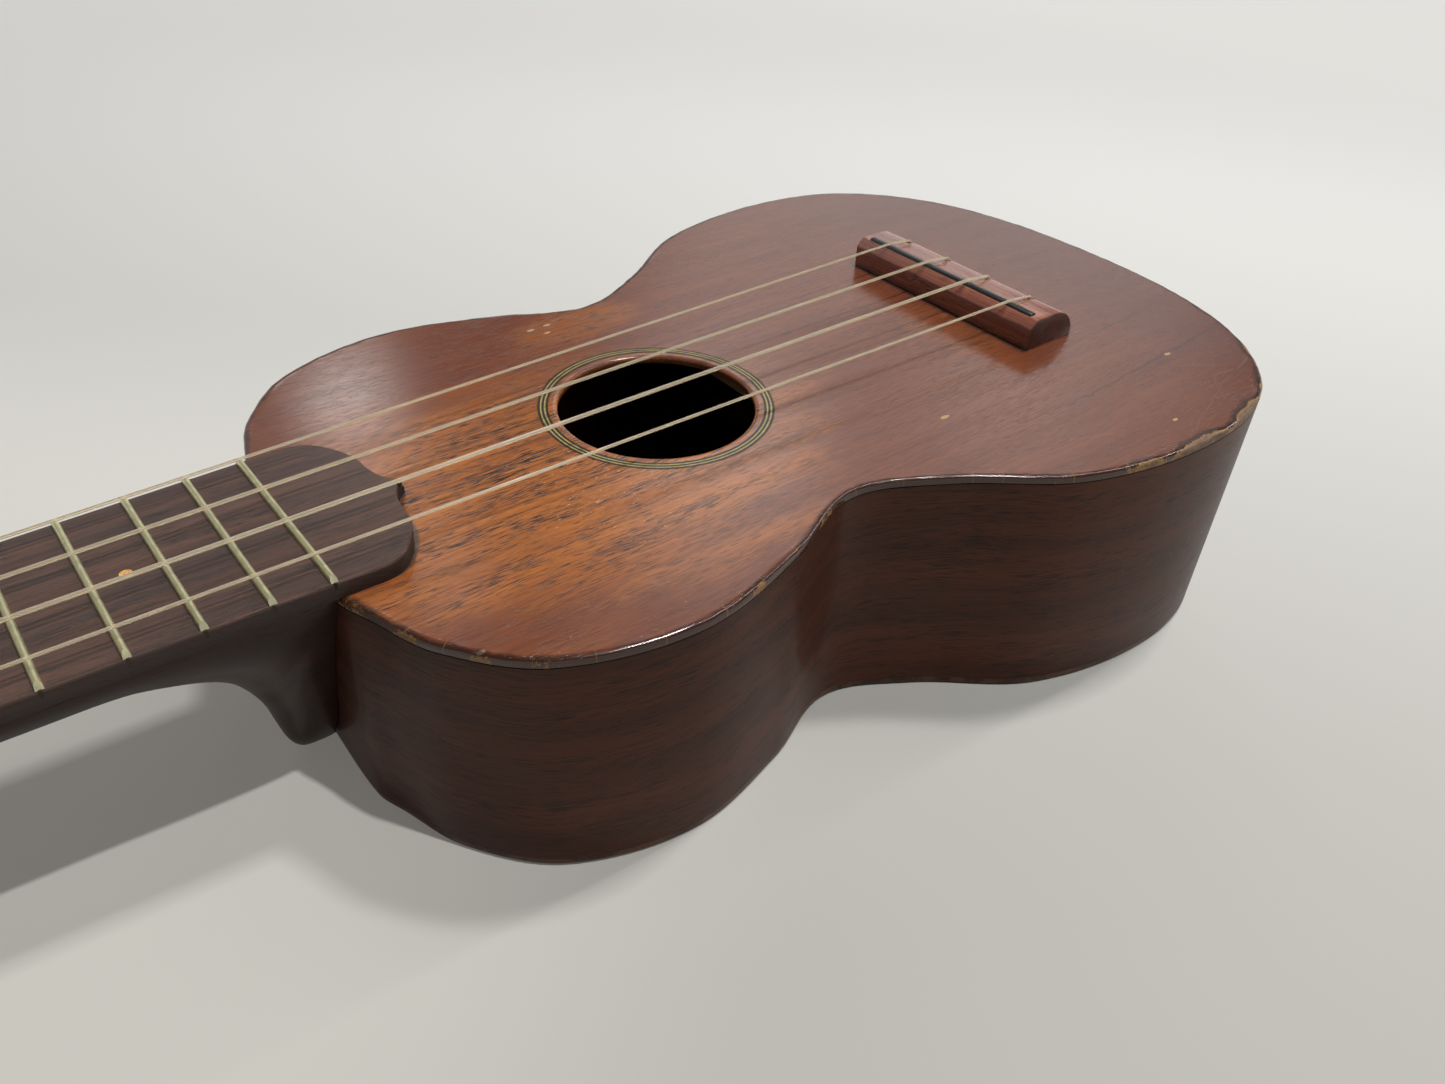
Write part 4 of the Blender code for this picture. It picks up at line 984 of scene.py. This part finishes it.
def make_tuner(name, place, hole_at, hole_turn):
    axis = HEAD @ Matrix.Translation((*place, 0))
    body = "peg_" + name
    seat, under = BUSHING_TOP + GAP, -HEAD_THICK - GAP
    stem_end = under - STEM_LONG
    post = turned([
        (0, POST_TALL), (1.7, POST_TALL - 0.05), (2.3, POST_TALL - 0.28), (2.65, POST_TALL - 0.7),
        (POST_R, POST_TALL - 1.2), (POST_R, seat + 0.2), (POST_R - 0.2, seat), (SHAFT_R, seat), (SHAFT_R, under),
        (STEM_R, under), (STEM_R, stem_end), (0, stem_end),
    ])
    hole = bmesh.new()
    bmesh.ops.create_cone(
        hole, cap_ends=True, segments=24, radius1=STRING_HOLE_R, radius2=STRING_HOLE_R, depth=4 * POST_R,
        matrix=Matrix.Translation((0, 0, hole_at)) @ Matrix.Rotation(hole_turn, 4, "Z")
        @ Matrix.Rotation(math.pi / 2, 4, "Y"),
    )
    piece("tuner_post_" + name, carved(post, hole), axis, TUNER_METAL, body)
    sleeve = SHAFT_R + 0.15
    bushing = turned([
        (sleeve, BUSHING_TOP - 0.1), (sleeve + 0.1, BUSHING_TOP), (3.7, BUSHING_TOP), (3.9, BUSHING_TOP - 0.1),
        (4.8, 0.75), (BUSHING_R, 0.5), (BUSHING_R, 0), (SHAFT_R + 0.9, 0), (SHAFT_R + 0.9, -BUSHING_DEEP),
        (sleeve, -BUSHING_DEEP),
    ])
    piece("tuner_bushing_" + name, bushing, axis, TUNER_METAL)
    rings = []
    for down, long, thick in filled_in(BUTTON, 4):
        rings.append([(thick * p.x, long * p.y, under - down) for p in circle(48)])
    button = ease(loft(rings), 0.35, 60)
    foot = under - BUTTON[-1][0]
    recess = turned([(0, foot + 1.2), (2.3, foot + 1.2), (2.3, foot - 3), (0, foot - 3)])
    piece("tuner_button_" + name, carved(button, recess), axis, IVOROID, body)
    low = foot + 0.9
    screw = turned([
        (0, low + 3), (1, low + 3), (1, low), (2, low), (1.95, low - 0.5), (1.5, low - 1.0), (0, low - 1.25),
    ])
    slot = block((-0.3, -3, low - 2), (0.3, 3, low - 0.6))
    piece("tuner_screw_" + name, carved(screw, slot), axis, TUNER_METAL, body)


def winding_points(radius, pitch, start_turn, way):
    """Turns round a post from where the string arrives up to the string hole and through it."""
    def around(turn, height, r=radius):
        at = start_turn + way * 2 * math.pi * turn
        return Vector((r * math.cos(at), r * math.sin(at), height))

    steps = range(int(WINDING_TURNS * TURN_STEPS) + 1)
    points = [around(i / TURN_STEPS, WINDING_START + pitch * i / TURN_STEPS) for i in steps]
    base = WINDING_START + pitch * WINDING_TURNS
    last = int(LAST_TURN * TURN_STEPS)
    for i in range(1, last + 1):
        part = i / last
        rise = LAST_CLIMB * part * part * (3 - 2 * part)
        points.append(around(WINDING_TURNS + LAST_TURN * part, base + rise))
    total, height = WINDING_TURNS + LAST_TURN, base + LAST_CLIMB
    points.append(around(total + 0.03, height + 0.03, radius + 0.12))
    inward = around(total + 0.052, 0, 1.0)
    for reach in (radius - 0.25, radius - 1.3, 0.0, -radius, -radius - 1.8):
        points.append(Vector((inward.x * reach, inward.y * reach, height + 0.04)))
    return points, height + 0.04, start_turn + way * 2 * math.pi * (total + 0.052)


def make_strings():
    for i, (name, diameter, far, side) in enumerate(STRINGS):
        half = diameter / 2
        radius = POST_R + GAP + half
        nut_y, saddle_y = (i - 1.5) * NUT_SPACING, (i - 1.5) * SADDLE_SPACING
        behind_nut, centre = Vector((-0.6, nut_y)), Vector((-far, side))
        way = -math.copysign(1, side)
        run = centre - behind_nut
        aim = math.atan2(run.y, run.x) - math.asin(radius / run.length) * way
        touch = behind_nut + Vector((math.cos(aim), math.sin(aim))) * math.sqrt(run.length**2 - radius**2)
        start_turn = math.atan2(touch.y - centre.y, touch.x - centre.x)
        points, hole_at, hole_turn = winding_points(radius, diameter + 0.5, start_turn, way)
        body = "peg_" + name
        axis = HEAD @ Matrix.Translation((*centre, 0))
        piece("winding_" + name, tube(points, diameter), axis, NYLON, body)
        make_tuner(name, centre, hole_at, hole_turn)
        start = HEAD_TILTED @ Vector((*touch, WINDING_START))
        over_saddle, over_bridge = BRIDGE_TOP + SADDLE_PROUD + GAP + half, BRIDGE_TOP + GAP + half
        saddle_x, knot_x = SADDLE_FRONT + 1.0, BRIDGE_BACK + 1.7
        route = [
            start, (HEAD_X - 0.6, nut_y, STRING_AT_NUT - 0.62), (NUT_X - 2.6, nut_y, STRING_AT_NUT - 0.3),
            (NUT_X - 1.0, nut_y, STRING_AT_NUT - 0.05), (NUT_X, nut_y, STRING_AT_NUT),
            (saddle_x - 0.5, saddle_y, over_saddle), (saddle_x + 0.4, saddle_y, over_saddle - 0.02),
            (SLOT_START - 0.4, saddle_y, over_bridge), (SLOT_START + 0.8, saddle_y, over_bridge - 0.25),
            (SLOT_START + 1.8, saddle_y, over_bridge - 1.0), (BRIDGE_BACK - 1.6, saddle_y, 3.2),
            (BRIDGE_BACK + 0.2, saddle_y, 2.1), (knot_x - 0.9, saddle_y, 1.85), (knot_x - 0.5, saddle_y, 1.75),
            (knot_x + 0.2, saddle_y, 1.7), (knot_x + 0.8, saddle_y, 1.7), (knot_x + 1.1, saddle_y, 1.7),
        ]
        knot = (1.0, 0.8 / half, 1.2 / half, 0.9 / half, 0.4 / half)
        piece("string_" + name, tube([Vector(p) for p in route], diameter, knot), TOP, NYLON)


# Inside the body


def dress_inside():
    for name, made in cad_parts.items():
        if name.startswith("lining") or name.endswith("block") or name == "bridge_plate":
            made.material_slots[0].material = INNER_WOOD
        elif "brace" in name:
            made.material_slots[0].material = SPRUCE


# Stage


HORIZON = (0.76, 0.75, 0.72)
CLOTH_NEAR, CLOTH_GLOW, DARK = (0.44, 0.427, 0.383), (0.13, 0.122, 0.112), (0, 0, 0)
WALLS_HIGH, WALLS_LOW, PANEL = (0.085, 0.088, 0.095), (0.32, 0.32, 0.31), (1, 1, 0.98)
# Soft panels of the studio: turn and rise of the middle, outer and inner radius, in degrees, and strength
SOFT_PANELS = (
    ((41, 28), 17.5, 10.5, 0.68), ((52, 36), 7, 3, 1.3), ((35, 32), 5, 1, 0.4), ((56, 44), 7, 3, 0.5),
    ((72.8, 30.8), 3.2, 1, 4.4), ((69.5, 39.5), 2.6, 1, 2.2), ((98, 35), 22, 10, 0.4),
)
# Lamps: name, place, aim, size and power
LAMPS = (
    ("key", (0.53, 0.0, 1.5), (0.1, 0, 0.05), (0.14, 0.14), 9),
    ("row", (1.55, -0.1, 1.4), (0.15, 0, 0.05), (0.07, 1.7), 7),
    ("second", (0.25, -0.5, 1.55), (0.1, 0, 0.05), (0.035, 0.035), 13),
)
# The photo's camera: its axes and place, its focal length and the photo's width in pixels
CAMERA_RIGHT, CAMERA_DOWN = (0.77891, -0.6211, 0.08683), (-0.30598, -0.49723, -0.81187)
CAMERA_AHEAD, CAMERA_PLACE = (0.54743, 0.6058, -0.57734), (-0.02677, -0.17406, 0.17605)
FOCAL, PHOTO_WIDE = 1130.31, 1445


def hang(name, place, aim, size, power):
    lamp = bpy.data.lights.new(name, "AREA")
    lamp.shape = "RECTANGLE"
    lamp.size, lamp.size_y = size
    lamp.energy = power
    made = added(name, lamp)
    made.location = place
    made.rotation_euler = (Vector(aim) - Vector(place)).to_track_quat("-Z", "Y").to_euler()


def seen_background(glossy=1.0):
    """1 for the rays that show the pale background: seen, through glass, and as much as asked in gloss."""
    rays = put("LightPath").outputs
    seen = maths("MAXIMUM", rays["Is Camera Ray"], rays["Is Transmission Ray"])
    return maths("MAXIMUM", seen, times(rays["Is Glossy Ray"], glossy))


def make_stage():
    bm = bmesh.new()
    bmesh.ops.create_grid(bm, x_segments=1, y_segments=1, size=60.0)
    floor = as_object("floor", bm)
    cloth, main = shader("floor_cloth", Roughness=0.9, Specular_IOR_Level=0.0, Emission_Strength=1.0)
    place = put("TexCoord").outputs["Object"]
    x, y, _ = put("SeparateXYZ", Vector=place).outputs
    reach = times(x, 0.9, y)
    # The cloth is painted darker towards the camera, as shade
    colour = mix(step(reach, -0.3, 0.75), CLOTH_NEAR, HORIZON)
    far = step(vectors("LENGTH", place), 0.45, 1.1)
    value(main["Base Color"], mix(far, colour, DARK))
    # A painted glow lightens the cloth in and round the neck's shadow, for camera, glass and gloss rays
    by_neck = times(step(maths("SUBTRACT", x, y), 0.18, 0.04), step(reach, 0.3, 0.1))
    glow = mix(far, mix(by_neck, DARK, CLOTH_GLOW), HORIZON)
    value(main["Emission Color"], mix(seen_background(), DARK, glow))
    floor.data.materials.append(cloth)
    world = bpy.data.worlds.new("studio")
    world.use_nodes = True
    sky = draw_on(world.node_tree)
    way = put("TexCoord").outputs["Generated"]
    up = put("SeparateXYZ", Vector=way).outputs["Z"]
    walls = step(up, 0.4, 0.15)
    colour = mix(walls, WALLS_HIGH, WALLS_LOW)
    for (turn, rise), outer, inner, strength in SOFT_PANELS:
        turn, rise, outer, inner = map(math.radians, (turn, rise, outer, inner))
        toward = Matrix.Rotation(turn, 3, "Z") @ Matrix.Rotation(-rise, 3, "Y") @ Vector((1, 0, 0))
        near_it = vectors("DOT_PRODUCT", way, toward)
        lit = step(near_it, math.cos(outer), math.cos(inner), strength)
        colour = mix(1.0, colour, mix(lit, DARK, PANEL, clamp=False), "ADD")
    low = step(up, 0.3, 0.12)
    value(sky.nodes["Background"].inputs["Color"], mix(seen_background(low), colour, HORIZON))
    bpy.context.scene.world = world
    for lamp in LAMPS:
        hang(*lamp)


def make_camera():
    place = Matrix((CAMERA_RIGHT, -Vector(CAMERA_DOWN), -Vector(CAMERA_AHEAD))).transposed().to_4x4()
    place.translation = CAMERA_PLACE
    data = bpy.data.cameras.new("camera")
    data.sensor_width = 36
    data.lens = FOCAL / PHOTO_WIDE * data.sensor_width
    data.clip_start = 0.01
    made = added("camera", data)
    made.matrix_world = place
    bpy.context.scene.camera = made


make_camera()
make_soundboard()
make_rosette()
make_sides()
make_back()
make_bridge()
make_neck()
make_fingerboard()
make_frets()
make_nut()
make_strings()
dress_inside()
make_stage()
bpy.context.scene.view_settings.view_transform = "Standard"
